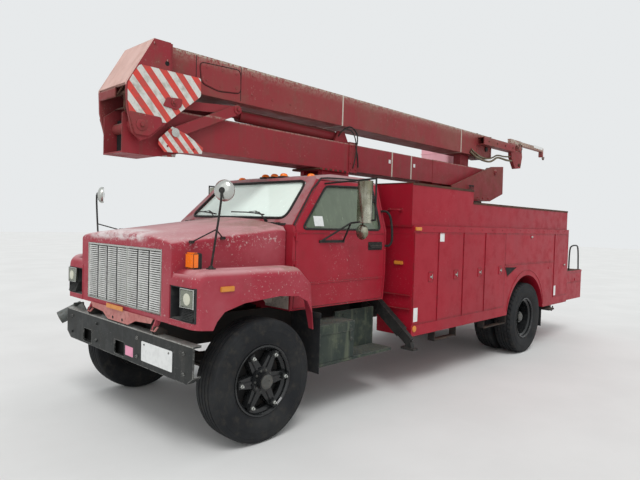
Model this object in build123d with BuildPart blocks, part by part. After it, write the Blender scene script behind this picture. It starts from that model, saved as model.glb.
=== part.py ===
import os
from math import atan2, cos, degrees, hypot, radians, sin

from build123d import *

# A bonneted bucket truck: a two-axle chassis with a tilting hood, a steel utility body with side
# compartments, and an over-centre insulated boom on a turntable. Millimetres, +X forward, +Y to the
# driver's side, +Z up. The origin is on the ground under the middle of the whole machine.

# Stations along the truck
FRONT_AXLE_X = 3510
WHEELBASE = 5105
REAR_AXLE_X = FRONT_AXLE_X - WHEELBASE
HOOD_REAR_X = 3062
CAB_FRONT_X = 3048
CAB_BACK_X = 1630
BODY_FRONT_X = 1460
BODY_REAR_X = -3200
TAIL_X = -4090
SLEW_X = -1640

# Tyres and wheels
TYRE_R = 527
TYRE_HALF_W = 140
RIM_R = 298.5
BEAD_R = 287.7
RIM_HALF_W = 104.3
RIM_WALL = 12
DUAL_PITCH = 330
FRONT_TRACK_Y = 1032
REAR_OUTER_Y = 1072
REAR_MID_Y = REAR_OUTER_Y - DUAL_PITCH / 2
HUB_R = 105
SPOKES = 6
SPINDLE_R = 40
AXLE_TUBE_R = 50
RUN_CLEAR = 0.3

# Frame
RAIL_OUT_Y = 430
RAIL_FLANGE = 80
RAIL_TOP = 1000
RAIL_H = 260
RAIL_T = 10
RAIL_FRONT_X = FRONT_AXLE_X + 640
RAIL_REAR_X = -4050
CROSSMEMBER_XS = (RAIL_FRONT_X - 90, 2300, 900, -900, -2500, RAIL_REAR_X + 90)

# Bumper
BUMPER_X = RAIL_FRONT_X + 80
BUMPER_DEPTH = 70
BUMPER_HALF_W = 1180
BUMPER_BOTTOM = 622
BUMPER_TOP = 922
BUMPER_T = 12
BUMPER_HOLE_YS = (-685, -10)
BUMPER_HOLE_Z = (642, 768)

# Cab
CAB_HALF_W = 962
CAB_SHOULDER_HALF_W = 815
CAB_SHOULDER_Z = 2310
CAB_FLOOR_Z = 1045
CAB_BELT_Z = 1800
CAB_ROOF_Z = 2395
CAB_WALL = 45
DOOR_GAP = 6
DOOR_FRONT_X = 3005
DOOR_REAR_X = 1665
DOOR_BOTTOM_Z = 1062
GLASS_T = 6
DOOR_HINGE = (DOOR_FRONT_X + 3, CAB_HALF_W + 10)
DOOR_HINGE_R = 9
DOOR_HINGE_H = 40
DOOR_HINGE_ZS = (1440, 1700)
CAB_MOUNT_XS = (CAB_BACK_X + 130, CAB_FRONT_X - 148)
MIRROR_OUT_Y = CAB_HALF_W + 422

# Hood and fenders
HOOD_FRONT_X = BUMPER_X - 5
HOOD_HALF_W = 865
HOOD_BOTTOM_Z = 1045
HOOD_WALL = 18
FENDER_OUT_Y = BUMPER_HALF_W + 10
FENDER_CREST_Z = 1480
HOOD_PIVOT = (HOOD_FRONT_X + 10, 968)
GRILLE_HALF_W = 695
GRILLE_Z = (1088, 1626)
LAMP_Y = (FENDER_OUT_Y - 364, FENDER_OUT_Y - 18)
LAMP_Z = (1090, 1355)

# Utility body
BODY_OUT_Y = 1215
BODY_IN_Y = 735
BODY_UPPER_Y = 1180
BODY_BOTTOM_Z = 640
RAIL_Z = (1805, 1875)
BODY_TOP_Z = 2190
BODY_HIGH_TOP_Z = 2345
BODY_STEP_X = 98
BODY_WALL = 25
COMPARTMENT_DOOR_T = 30
HINGE_ROD_R = 4
HINGE_ROD_Y = BODY_OUT_Y + HINGE_ROD_R + 1
ARCH_X = REAR_AXLE_X + 50
ARCH_R = 650
DECK_Z = (1125, 1150)

# Booms and turret, in the truck's middle plane: (x, z)
LOWER_PIVOT = (-2244, 2817)
ELBOW_PIVOT = (4205, 2663)
ARM_PIN = (3856, 2649)
ROD_PIN = (3159, 2971)
CRANK_PIN = (3889, 2907)
ELBOW_BARREL_PIN = (1475, 2950)
LIFT_BASE_PIN = (-1944, 2430)
LIFT_BOOM_PIN = (-750, 2430)
LEVEL_SHAFT = (-2110, 3200)
REST_POST_X = (-1750, -1480)
BOOM_HALF_W = 180
BOOM_WALL = 14
LOWER_Z = (2520, 2860)
UPPER_Z = (3060, 3425)
ELBOW_FRONT_X = 4340
COLLAR_X = 1370
INSULATOR_X = (-490, 1262)
UPPER_TIP_X = -2290
TURRET_PLATE_Y = (275, 300)
LINK_BAR_Y = (186, 206)
LINK_ARM_Y = (210, 230)
CRANK_Y = (246, 270)
PIN_R = 50
LUG_Y = (75, 105)
JIB_Y = (190, 318)
JIB_END_X = -4340
BUCKET_X = (-2490, -1820)
BUCKET_Y = (-950, -350)
BUCKET_Z = (2500, 3500)
BUCKET_WALL = 12


def block(x, y, z, mode=Mode.ADD):
    """A box between two x, two y and two z values."""
    with Locations(((x[0] + x[1]) / 2, (y[0] + y[1]) / 2, (z[0] + z[1]) / 2)):
        Box(abs(x[1] - x[0]), abs(y[1] - y[0]), abs(z[1] - z[0]), mode=mode)


def side_plate(points, y, radius=0, mode=Mode.ADD):
    """A plate cut to an outline of (x, z) points, between two y values."""
    with BuildSketch(Plane.XZ.offset(-y[1])) as outline:
        Polygon(*points, align=None)
        if radius:
            fillet(outline.vertices(), radius)
    extrude(outline.sketch, amount=y[1] - y[0], mode=mode)


def cross_plate(points, x, radius=0, mode=Mode.ADD):
    """A plate cut to an outline of (y, z) points, between two x values."""
    with BuildSketch(Plane.YZ.offset(x[0])) as outline:
        Polygon(*points, align=None)
        if radius:
            fillet(outline.vertices(), radius)
    extrude(outline.sketch, amount=x[1] - x[0], mode=mode)


def cross_bar(centre, radius, y, mode=Mode.ADD):
    """A round bar across the truck at (x, z), between two y values."""
    with BuildSketch(Plane.XZ.offset(-y[1])) as end:
        with Locations(centre):
            Circle(radius)
    extrude(end.sketch, amount=y[1] - y[0], mode=mode)


def bar(start, end, radius, mode=Mode.ADD):
    """A round bar from one point to another."""
    run = Vector(*end) - Vector(*start)
    with BuildSketch(Plane(origin=start, z_dir=run)) as section:
        Circle(radius)
    extrude(section.sketch, amount=run.length, mode=mode)


def link(start, end, half_width, y, mode=Mode.ADD):
    """A flat bar with round ends between two (x, z) points and two y values."""
    length = hypot(end[0] - start[0], end[1] - start[1])
    angle = degrees(atan2(end[1] - start[1], end[0] - start[0]))
    middle = ((start[0] + end[0]) / 2, (start[1] + end[1]) / 2)
    with BuildSketch(Plane.XZ.offset(-y[1])) as outline:
        with Locations(Location((middle[0], middle[1], 0), (0, 0, angle))):
            SlotCenterToCenter(length, 2 * half_width)
    extrude(outline.sketch, amount=y[1] - y[0], mode=mode)


def save(piece, name):
    piece.part.label = name
    export_step(piece.part, "parts/" + name + ".step")


def save_pair(piece, name):
    """Writes the driver's side piece and its mirror image on the kerb side."""
    save(piece, name + "_left")
    with BuildPart() as other:
        mirror(piece.part, about=Plane.XZ)
    save(other, name + "_right")


os.makedirs("parts", exist_ok=True)

# Tyre, drawn at the origin about the Y axis
with BuildPart() as tyre:
    with BuildSketch(Plane.YZ):
        with BuildLine():
            Line((80, BEAD_R + RUN_CLEAR), (104, BEAD_R + RUN_CLEAR))
            Line((104, BEAD_R + RUN_CLEAR), (104, RIM_R + 1.5))
            Line((104, RIM_R + 1.5), (110, 306))
            ThreePointArc((110, 306), (TYRE_HALF_W, 400), (127, 495))
            ThreePointArc((127, 495), (120, 513), (104, 521))
            ThreePointArc((104, 521), (0, TYRE_R), (-104, 521))
            ThreePointArc((-104, 521), (-120, 513), (-127, 495))
            ThreePointArc((-127, 495), (-TYRE_HALF_W, 400), (-110, 306))
            Line((-110, 306), (-104, RIM_R + 1.5))
            Line((-104, RIM_R + 1.5), (-104, BEAD_R + RUN_CLEAR))
            Line((-104, BEAD_R + RUN_CLEAR), (-80, BEAD_R + RUN_CLEAR))
            ThreePointArc((-80, BEAD_R + RUN_CLEAR), (-118, 400), (-92, 492))
            Line((-92, 492), (92, 492))
            ThreePointArc((92, 492), (118, 400), (80, BEAD_R + RUN_CLEAR))
        make_face()
    revolve(axis=Axis.Y)

# Demountable rim, drawn at the origin about the Y axis
RIM_OUTLINE = (
    (RIM_HALF_W, RIM_R), (RIM_HALF_W, BEAD_R), (72, BEAD_R), (52, BEAD_R - 25),
    (-52, BEAD_R - 25), (-72, BEAD_R), (-RIM_HALF_W, BEAD_R), (-RIM_HALF_W, RIM_R),
    (-RIM_HALF_W - 10, RIM_R), (-RIM_HALF_W - 10, BEAD_R - 2), (-RIM_HALF_W + 4, BEAD_R - RIM_WALL),
    (-76, BEAD_R - RIM_WALL), (-58, BEAD_R - 25 - RIM_WALL), (58, BEAD_R - 25 - RIM_WALL),
    (76, BEAD_R - RIM_WALL), (RIM_HALF_W - 4, BEAD_R - RIM_WALL), (RIM_HALF_W + 10, BEAD_R - 2),
    (RIM_HALF_W + 10, RIM_R),
)
SPOKE_TIP_R = BEAD_R - 25 - RIM_WALL + 2
with BuildPart() as rim:
    with BuildSketch(Plane.YZ):
        Polygon(*RIM_OUTLINE, align=None)
    revolve(axis=Axis.Y)


def spokes(y):
    """Cast spokes between two y values, tapering out to the rim."""
    with BuildSketch(Plane.XZ.offset(-y[1])) as star:
        with PolarLocations(0, SPOKES):
            Polygon((80, -58), (SPOKE_TIP_R, -34), (SPOKE_TIP_R, 34), (80, 58), align=None)
    extrude(star.sketch, amount=y[1] - y[0])


with BuildPart() as front_wheel:
    add(rim.part)
    cross_bar((0, 0), HUB_R, (-85, 105))
    cross_bar((0, 0), 72, (105, 150))
    spokes((10, 85))
    cross_bar((0, 0), SPINDLE_R + RUN_CLEAR, (-86, 80), Mode.SUBTRACT)

with BuildPart() as rear_wheels:
    with Locations((0, DUAL_PITCH / 2, 0), (0, -DUAL_PITCH / 2, 0)):
        add(rim.part)
    with BuildSketch(Plane.XZ.offset(-60)):
        Circle(BEAD_R - 4)
        Circle(SPOKE_TIP_R - 4, mode=Mode.SUBTRACT)
    extrude(amount=120)
    cross_bar((0, 0), HUB_R + 15, (-170, 130))
    cross_bar((0, 0), 78, (130, 200))
    spokes((-50, 50))
    cross_bar((0, 0), AXLE_TUBE_R + RUN_CLEAR, (-171, 110), Mode.SUBTRACT)

with BuildPart() as tyre_front:
    with Locations((FRONT_AXLE_X, FRONT_TRACK_Y, TYRE_R)):
        add(tyre.part)
save_pair(tyre_front, "tyre_front")
with BuildPart() as wheel_front:
    with Locations((FRONT_AXLE_X, FRONT_TRACK_Y, TYRE_R)):
        add(front_wheel.part)
save_pair(wheel_front, "wheel_front")
with BuildPart() as tyres_rear:
    with Locations((REAR_AXLE_X, REAR_OUTER_Y, TYRE_R), (REAR_AXLE_X, REAR_OUTER_Y - DUAL_PITCH, TYRE_R)):
        add(tyre.part)
save_pair(tyres_rear, "tyres_rear")
with BuildPart() as wheels_rear:
    with Locations((REAR_AXLE_X, REAR_MID_Y, TYRE_R)):
        add(rear_wheels.part)
save_pair(wheels_rear, "wheels_rear")

# Frame: two channel rails and crossmembers, with the hood's hinge brackets
RAIL_BOTTOM = RAIL_TOP - RAIL_H
with BuildPart() as frame:
    for side in (1, -1):
        out = side * RAIL_OUT_Y
        web_in = side * (RAIL_OUT_Y - RAIL_T)
        flange_in = side * (RAIL_OUT_Y - RAIL_FLANGE)
        rail_x = (RAIL_REAR_X, RAIL_FRONT_X)
        block(rail_x, (out, web_in), (RAIL_BOTTOM, RAIL_TOP))
        block(rail_x, (out, flange_in), (RAIL_TOP - RAIL_T, RAIL_TOP))
        block(rail_x, (out, flange_in), (RAIL_BOTTOM, RAIL_BOTTOM + RAIL_T))
    for x in CROSSMEMBER_XS:
        block((x - 30, x + 30), (-RAIL_OUT_Y + RAIL_T, RAIL_OUT_Y - RAIL_T),
              (RAIL_BOTTOM + 80, RAIL_TOP - 40))
    block((RAIL_FRONT_X - 60, RAIL_FRONT_X), (-660, 660), (BUMPER_TOP - 90, BUMPER_TOP - 12))
    for side in (1, -1):
        cheeks = ((side * 588, side * 600), (side * 626, side * 638))
        for y in cheeks:
            side_plate(((RAIL_FRONT_X - 20, BUMPER_TOP - 40), (RAIL_FRONT_X - 20, 950),
                        (HOOD_PIVOT[0] - 30, HOOD_PIVOT[1] + 26), (HOOD_PIVOT[0] + 12, HOOD_PIVOT[1] + 26),
                        (HOOD_PIVOT[0] + 22, HOOD_PIVOT[1]), (HOOD_PIVOT[0], BUMPER_TOP + 4),
                        (RAIL_FRONT_X + 10, BUMPER_TOP + 4), (RAIL_FRONT_X, BUMPER_TOP - 40)),
                       (min(y), max(y)))
        cross_bar(HOOD_PIVOT, 10 + RUN_CLEAR, (min(cheeks[0][0], cheeks[1][1]) - 1,
                                              max(cheeks[0][0], cheeks[1][1]) + 1), Mode.SUBTRACT)
save(frame, "frame")

# Axles and springs, not touching each other: the frame carries them
KINGPIN_Y = 860
KINGPIN_R = 22
SPRING_Y = (352, 428)
with BuildPart() as axles:
    block((FRONT_AXLE_X - 50, FRONT_AXLE_X + 50), (-KINGPIN_Y, KINGPIN_Y), (TYRE_R - 50, TYRE_R + 50))
    block((FRONT_AXLE_X - 51, FRONT_AXLE_X - 20), (-700, 700), (TYRE_R - 30, TYRE_R + 30), Mode.SUBTRACT)
    block((FRONT_AXLE_X + 20, FRONT_AXLE_X + 51), (-700, 700), (TYRE_R - 30, TYRE_R + 30), Mode.SUBTRACT)
    for side in (1, -1):
        with Locations((FRONT_AXLE_X, side * KINGPIN_Y, TYRE_R)):
            Cylinder(54, 100)
            Cylinder(KINGPIN_R + RUN_CLEAR, 101, mode=Mode.SUBTRACT)
    cross_bar((REAR_AXLE_X, TYRE_R), 95, (-560, 560))
    cross_bar((REAR_AXLE_X, TYRE_R), AXLE_TUBE_R, (-REAR_MID_Y - 100, REAR_MID_Y + 100))
    with Locations((REAR_AXLE_X, 0, TYRE_R)):
        Sphere(205)
    for axle_x, half_span, half_axle in ((FRONT_AXLE_X, 640, 50), (REAR_AXLE_X, 720, 95)):
        low = TYRE_R + half_axle - 2
        for side in (1, -1):
            y = (side * SPRING_Y[0], side * SPRING_Y[1])
            with BuildSketch(Plane.XZ.offset(-max(y))):
                with BuildLine():
                    ThreePointArc((axle_x - half_span, RAIL_BOTTOM), (axle_x, low),
                                  (axle_x + half_span, RAIL_BOTTOM))
                    Line((axle_x + half_span, RAIL_BOTTOM), (axle_x + half_span - 90, RAIL_BOTTOM))
                    ThreePointArc((axle_x + half_span - 90, RAIL_BOTTOM), (axle_x, low + 70),
                                  (axle_x - half_span + 90, RAIL_BOTTOM))
                    Line((axle_x - half_span + 90, RAIL_BOTTOM), (axle_x - half_span, RAIL_BOTTOM))
                make_face()
            extrude(amount=abs(y[1] - y[0]))
save(axles, "axles")

# Engine as one plain block, radiator, gearbox and shaft to the rear axle
RADIATOR_X = (HOOD_FRONT_X - 235, HOOD_FRONT_X - 155)
ENGINE_X = (HOOD_REAR_X + 18, RADIATOR_X[0] - 90)
GEARBOX_X = 2420
with BuildPart() as engine:
    block(ENGINE_X, (-300, 300), (820, 1480))
    block(RADIATOR_X, (-520, 520), (1060, 1560))
    block((ENGINE_X[0] + 220, ENGINE_X[0] + 320), (-RAIL_OUT_Y + RAIL_T, RAIL_OUT_Y - RAIL_T), (860, 960))
    block((ENGINE_X[1] - 5, RADIATOR_X[0] + 5), (-60, 60), (1150, 1250))
    block((GEARBOX_X, ENGINE_X[0] + 5), (-190, 190), (700, 1030))
    bar((GEARBOX_X + 5, 0, 740), (REAR_AXLE_X + 212, 0, TYRE_R + 18), 45)
save(engine, "engine_block")

# Front bumper: a deep channel with two openings and clipped lower ends
with BuildPart() as bumper:
    BUMPER_REAR_X = BUMPER_X - BUMPER_DEPTH
    face = ((-BUMPER_HALF_W, BUMPER_TOP), (BUMPER_HALF_W, BUMPER_TOP),
            (BUMPER_HALF_W, BUMPER_BOTTOM + 60), (BUMPER_HALF_W - 90, BUMPER_BOTTOM),
            (-BUMPER_HALF_W + 90, BUMPER_BOTTOM), (-BUMPER_HALF_W, BUMPER_BOTTOM + 60))
    inner = ((-BUMPER_HALF_W - 1, BUMPER_TOP - BUMPER_T), (BUMPER_HALF_W + 1, BUMPER_TOP - BUMPER_T),
             (BUMPER_HALF_W + 1, BUMPER_BOTTOM + 60 + BUMPER_T), (BUMPER_HALF_W - 95, BUMPER_BOTTOM + BUMPER_T),
             (-BUMPER_HALF_W + 95, BUMPER_BOTTOM + BUMPER_T), (-BUMPER_HALF_W - 1, BUMPER_BOTTOM + 60 + BUMPER_T))
    cross_plate(face, (BUMPER_REAR_X, BUMPER_X))
    cross_plate(inner, (BUMPER_REAR_X - 1, BUMPER_X - BUMPER_T), mode=Mode.SUBTRACT)
    for y in BUMPER_HOLE_YS:
        block((BUMPER_X - 20, BUMPER_X + 1), (y - 95, y + 95), BUMPER_HOLE_Z, Mode.SUBTRACT)
    for side in (1, -1):
        block((RAIL_FRONT_X + RUN_CLEAR, BUMPER_X - BUMPER_T + 2), (side * 352, side * 429),
              (RAIL_BOTTOM, BUMPER_TOP - 30))
save(bumper, "front_bumper")


def cab_side_y(z):
    """Half width of the cab's outside at a height above its belt."""
    lean = (CAB_HALF_W - CAB_SHOULDER_HALF_W) / (CAB_SHOULDER_Z - CAB_BELT_Z)
    return CAB_HALF_W - lean * (z - CAB_BELT_Z)


# Cab: side outline and front outline crossed, and the same set in by a wall
def cab_volume(inset):
    roof_front_x = 2580
    side = ((CAB_FRONT_X, CAB_FLOOR_Z), (CAB_FRONT_X, 1850), (roof_front_x, 2340), (roof_front_x - 260, CAB_ROOF_Z - 12),
            (CAB_BACK_X + 60, CAB_ROOF_Z), (CAB_BACK_X, CAB_ROOF_Z - 90), (CAB_BACK_X, CAB_FLOOR_Z))
    front = ((-CAB_HALF_W + 20, CAB_FLOOR_Z), (-CAB_HALF_W, 1340), (-CAB_HALF_W, CAB_BELT_Z),
             (-CAB_SHOULDER_HALF_W, CAB_SHOULDER_Z), (-CAB_SHOULDER_HALF_W + 85, CAB_ROOF_Z - 10),
             (CAB_SHOULDER_HALF_W - 85, CAB_ROOF_Z - 10), (CAB_SHOULDER_HALF_W, CAB_SHOULDER_Z),
             (CAB_HALF_W, CAB_BELT_Z), (CAB_HALF_W, 1340), (CAB_HALF_W - 20, CAB_FLOOR_Z))
    with BuildPart() as volume:
        with BuildSketch(Plane.XZ):
            Polygon(*side, align=None)
            if inset:
                offset(amount=-inset, kind=Kind.INTERSECTION, mode=Mode.REPLACE)
        extrude(amount=CAB_HALF_W + 50, both=True)
        with BuildSketch(Plane.YZ.offset(CAB_BACK_X - 50)):
            Polygon(*front, align=None)
            if inset:
                offset(amount=-inset, kind=Kind.INTERSECTION, mode=Mode.REPLACE)
        extrude(amount=CAB_FRONT_X - CAB_BACK_X + 100, mode=Mode.INTERSECT)
    return volume.part


DOOR_OUTLINE = ((DOOR_FRONT_X, DOOR_BOTTOM_Z), (DOOR_FRONT_X, 1835), (2560, 2296), (DOOR_REAR_X, 2330),
                (DOOR_REAR_X, DOOR_BOTTOM_Z))
WINDOW_OUTLINE = ((2925, CAB_BELT_Z + 12), (2488, 2248), (DOOR_REAR_X + 70, 2276), (DOOR_REAR_X + 70, CAB_BELT_Z + 12))
WINDSHIELD_OUTLINE = ((-800, 1905), (-700, 2290), (700, 2290), (800, 1905))
REAR_WINDOW_OUTLINE = ((-520, 1860), (-480, 2210), (480, 2210), (520, 1860))
cab_outside = cab_volume(0)
cab_inside = cab_volume(CAB_WALL)
glass_outside = cab_volume(14)
glass_inside = cab_volume(14 + GLASS_T)


def door_slab(gap):
    """The slab of side wall that the door is cut from, grown by a gap."""
    inset = CAB_WALL + 20 + gap
    top = CAB_ROOF_Z - 50
    bottom = CAB_FLOOR_Z - 10
    with BuildPart() as slab:
        with BuildSketch(Plane.XZ.offset(-CAB_HALF_W - 100)) as outline:
            Polygon(*DOOR_OUTLINE, align=None)
            if gap:
                offset(amount=gap, kind=Kind.INTERSECTION, mode=Mode.REPLACE)
        extrude(outline.sketch, amount=400)
        cross_plate(((CAB_HALF_W - inset - 20, bottom), (CAB_HALF_W - inset, CAB_BELT_Z), (cab_side_y(top) - inset, top),
                     (CAB_HALF_W + 90, top), (CAB_HALF_W + 90, bottom)),
                    (DOOR_REAR_X - 50, DOOR_FRONT_X + 50), mode=Mode.INTERSECT)
    return slab.part


def door_hinge(side, along, z):
    """Half of a door hinge: a barrel on the hinge line and a leaf on the skin, forward (1) or back (-1)."""
    with BuildSketch(Plane.XY.offset(z[0])) as barrel:
        with Locations((DOOR_HINGE[0], side * DOOR_HINGE[1])):
            Circle(DOOR_HINGE_R)
    extrude(barrel.sketch, amount=z[1] - z[0])
    block((DOOR_HINGE[0] + along * 4, DOOR_HINGE[0] + along * 30),
          (side * (CAB_HALF_W - 1), side * (DOOR_HINGE[1] - 2)), z)


with BuildPart() as cab:
    add(cab_outside)
    add(cab_inside, mode=Mode.SUBTRACT)
    doorway = door_slab(DOOR_GAP)
    add(doorway, mode=Mode.SUBTRACT)
    mirror(doorway, about=Plane.XZ, mode=Mode.SUBTRACT)
    cross_plate(WINDSHIELD_OUTLINE, (2450, CAB_FRONT_X + 5), 40, Mode.SUBTRACT)
    cross_plate(REAR_WINDOW_OUTLINE, (CAB_BACK_X - 5, CAB_BACK_X + 120), 40, Mode.SUBTRACT)
    for side in (1, -1):
        for x in CAB_MOUNT_XS:
            block((x - 60, x + 60), (side * (RAIL_OUT_Y - RAIL_FLANGE), side * RAIL_OUT_Y),
                  (RAIL_TOP + RUN_CLEAR, CAB_FLOOR_Z + 1))
        for z in DOOR_HINGE_ZS:
            door_hinge(side, 1, (z + DOOR_HINGE_H + RUN_CLEAR, z + 2 * DOOR_HINGE_H))
save(cab, "cab_shell")

with BuildPart() as panes:
    for outline, x in ((WINDSHIELD_OUTLINE, (2450, CAB_FRONT_X + 5)),
                       (REAR_WINDOW_OUTLINE, (CAB_BACK_X - 5, CAB_BACK_X + 120))):
        with BuildSketch(Plane.YZ.offset(x[0])) as pane:
            Polygon(*outline, align=None)
            fillet(pane.vertices(), 40)
            offset(amount=-RUN_CLEAR, mode=Mode.REPLACE)
        extrude(amount=x[1] - x[0])
with BuildPart() as cab_glass:
    add(glass_outside)
    add(glass_inside, mode=Mode.SUBTRACT)
    add(panes.part, mode=Mode.INTERSECT)
save(cab_glass, "cab_glass")

with BuildPart() as door:
    add(cab_outside)
    add(cab_inside, mode=Mode.SUBTRACT)
    add(door_slab(0), mode=Mode.INTERSECT)
    with BuildSketch(Plane.XZ.offset(-CAB_HALF_W - 100)) as window:
        Polygon(*WINDOW_OUTLINE, align=None)
        fillet(window.vertices(), 35)
    extrude(amount=400, mode=Mode.SUBTRACT)
    for z in DOOR_HINGE_ZS:
        door_hinge(1, -1, (z, z + DOOR_HINGE_H))
save_pair(door, "cab_door")

with BuildPart() as door_glass:
    add(glass_outside)
    add(glass_inside, mode=Mode.SUBTRACT)
    with BuildSketch(Plane.XZ.offset(-CAB_HALF_W - 100)) as pane:
        Polygon(*WINDOW_OUTLINE, align=None)
        fillet(pane.vertices(), 35)
        offset(amount=-RUN_CLEAR, mode=Mode.REPLACE)
    extrude(amount=400, mode=Mode.INTERSECT)
save_pair(door_glass, "door_glass")

# Mirror frame on the door
MIRROR_X = 2370
with BuildPart() as mirror_frame:
    tube_r = 9
    door_y = CAB_HALF_W + RUN_CLEAR
    low_apex = (MIRROR_X + 60, CAB_HALF_W + 168, 1880)
    for foot_x in (MIRROR_X + 314, MIRROR_X - 12):
        bar((foot_x, door_y + 10, 1693), low_apex, tube_r)
    block((MIRROR_X - 30, MIRROR_X + 330), (door_y, door_y + 14), (1680, 1706))
    bar(low_apex, (MIRROR_X, MIRROR_OUT_Y, 1915), tube_r)
    bar((MIRROR_X, MIRROR_OUT_Y, 1905), (MIRROR_X, MIRROR_OUT_Y, 2320), tube_r)
    bar((MIRROR_X + 130, cab_side_y(2270) + 3, 2270), (MIRROR_X, MIRROR_OUT_Y, 2312), tube_r)
    block((MIRROR_X - 14, MIRROR_X + 14), (MIRROR_OUT_Y - 208, MIRROR_OUT_Y - 48), (1890, 2280))
    bar((MIRROR_X, MIRROR_OUT_Y - 54, 2085), (MIRROR_X, MIRROR_OUT_Y, 2085), tube_r)
    spot_y = MIRROR_OUT_Y - 159
    with BuildSketch(Plane.YZ.offset(MIRROR_X - 20)):
        with Locations((spot_y, 1795)):
            Circle(56)
    extrude(amount=20)
    bar((MIRROR_X - 5, spot_y, 1840), (MIRROR_X - 5, spot_y, 1895), tube_r)
save_pair(mirror_frame, "door_mirror")

# Cab interior: bench seat, dash, steering column and wheel
with BuildPart() as interior:
    floor = CAB_FLOOR_Z + CAB_WALL
    block((1760, 2330), (-760, 760), (floor, floor + 330))
    block((1700, 1860), (-760, 760), (floor + 200, floor + 900))
    block((2720, CAB_FRONT_X - CAB_WALL), (-820, 820), (1480, 1790))
    bar((2800, 400, 1600), (2520, 400, 1720), 25)
    with Locations(Location((2510, 400, 1724), (0, -66, 0))):
        Torus(210, 14)
    bar((2510, 400 - 205, 1724), (2510, 400 + 205, 1724), 12)
save(interior, "cab_interior")

# Steps: battery box, tread and back panel on both sides, on brackets to the rails
STEP_FRONT_X = FRONT_AXLE_X - TYRE_R - 143
STEP_X = (STEP_FRONT_X - 560, STEP_FRONT_X)
TREAD_X = (STEP_X[0] - 640, STEP_X[0] + 1)
STEP_Y = (800, 1085)
STEP_Z = (500, 900)
with BuildPart() as steps:
    for side in (1, -1):
        y = (side * STEP_Y[0], side * STEP_Y[1])
        block(STEP_X, y, STEP_Z)
        block((STEP_X[0] + 30, STEP_X[1] - 30), (side * (STEP_Y[0] + 30), side * (STEP_Y[1] - 25)),
              (STEP_Z[0] + 30, STEP_Z[1] + 1), Mode.SUBTRACT)
        block(STEP_X, y, (STEP_Z[1] - 20, STEP_Z[1]))
        block(TREAD_X, y, (STEP_Z[0], STEP_Z[0] + 30))
        block(TREAD_X, (side * STEP_Y[0], side * (STEP_Y[0] + 20)), (STEP_Z[0], STEP_Z[1] + 50))
        for x in (STEP_X[0] + 220, TREAD_X[0] + 160):
            block((x - 25, x + 25), (side * (RAIL_OUT_Y + RUN_CLEAR), side * (STEP_Y[0] + 1)),
                  (RAIL_BOTTOM + 20, RAIL_BOTTOM + 120))
save(steps, "steps")


# Hood with its fenders, one moulding that tilts forward
def nose_volume(inset, low):
    with BuildPart() as nose:
        for x, half, shoulder, crown in ((HOOD_REAR_X - (60 if inset else 0), 878, 1822, 1905),
                                         (HOOD_FRONT_X - inset, 840, 1690, 1752)):
            w = half - inset
            with BuildSketch(Plane.YZ.offset(x)):
                with BuildLine():
                    Line((-w, low), (-w, shoulder - inset))
                    ThreePointArc((-w, shoulder - inset), (0, crown - inset), (w, shoulder - inset))
                    Line((w, shoulder - inset), (w, low))
                    Line((w, low), (-w, low))
                make_face()
        loft()
    return nose.part


def fender_volume(inset):
    crest = FENDER_CREST_Z - inset
    front_x = HOOD_FRONT_X + 5 - inset
    rear = 0 if not inset else inset
    outline = ((front_x, HOOD_BOTTOM_Z - (0 if not inset else 60)), (front_x, crest),
               (3150 - inset / 2, crest), (2985 + rear, 1330), (2930 + rear, 900 - (0 if not inset else 60)))
    inner_y = HOOD_HALF_W - 50 if not inset else HOOD_HALF_W + 13
    with BuildPart() as fender:
        with BuildSketch(Plane.XZ.offset(-(FENDER_OUT_Y - inset))) as profile:
            Polygon(*outline, align=None)
            fillet(profile.vertices().sort_by(Axis.Y)[-2:], 110)
        extrude(amount=FENDER_OUT_Y - inset - inner_y)
        rim_edges = fender.faces().sort_by(Axis.Y)[-1].edges()
        kept = [e for e in rim_edges if e.center().Z > 1100]
        fillet(kept, 75 - inset)
    return fender.part


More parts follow.
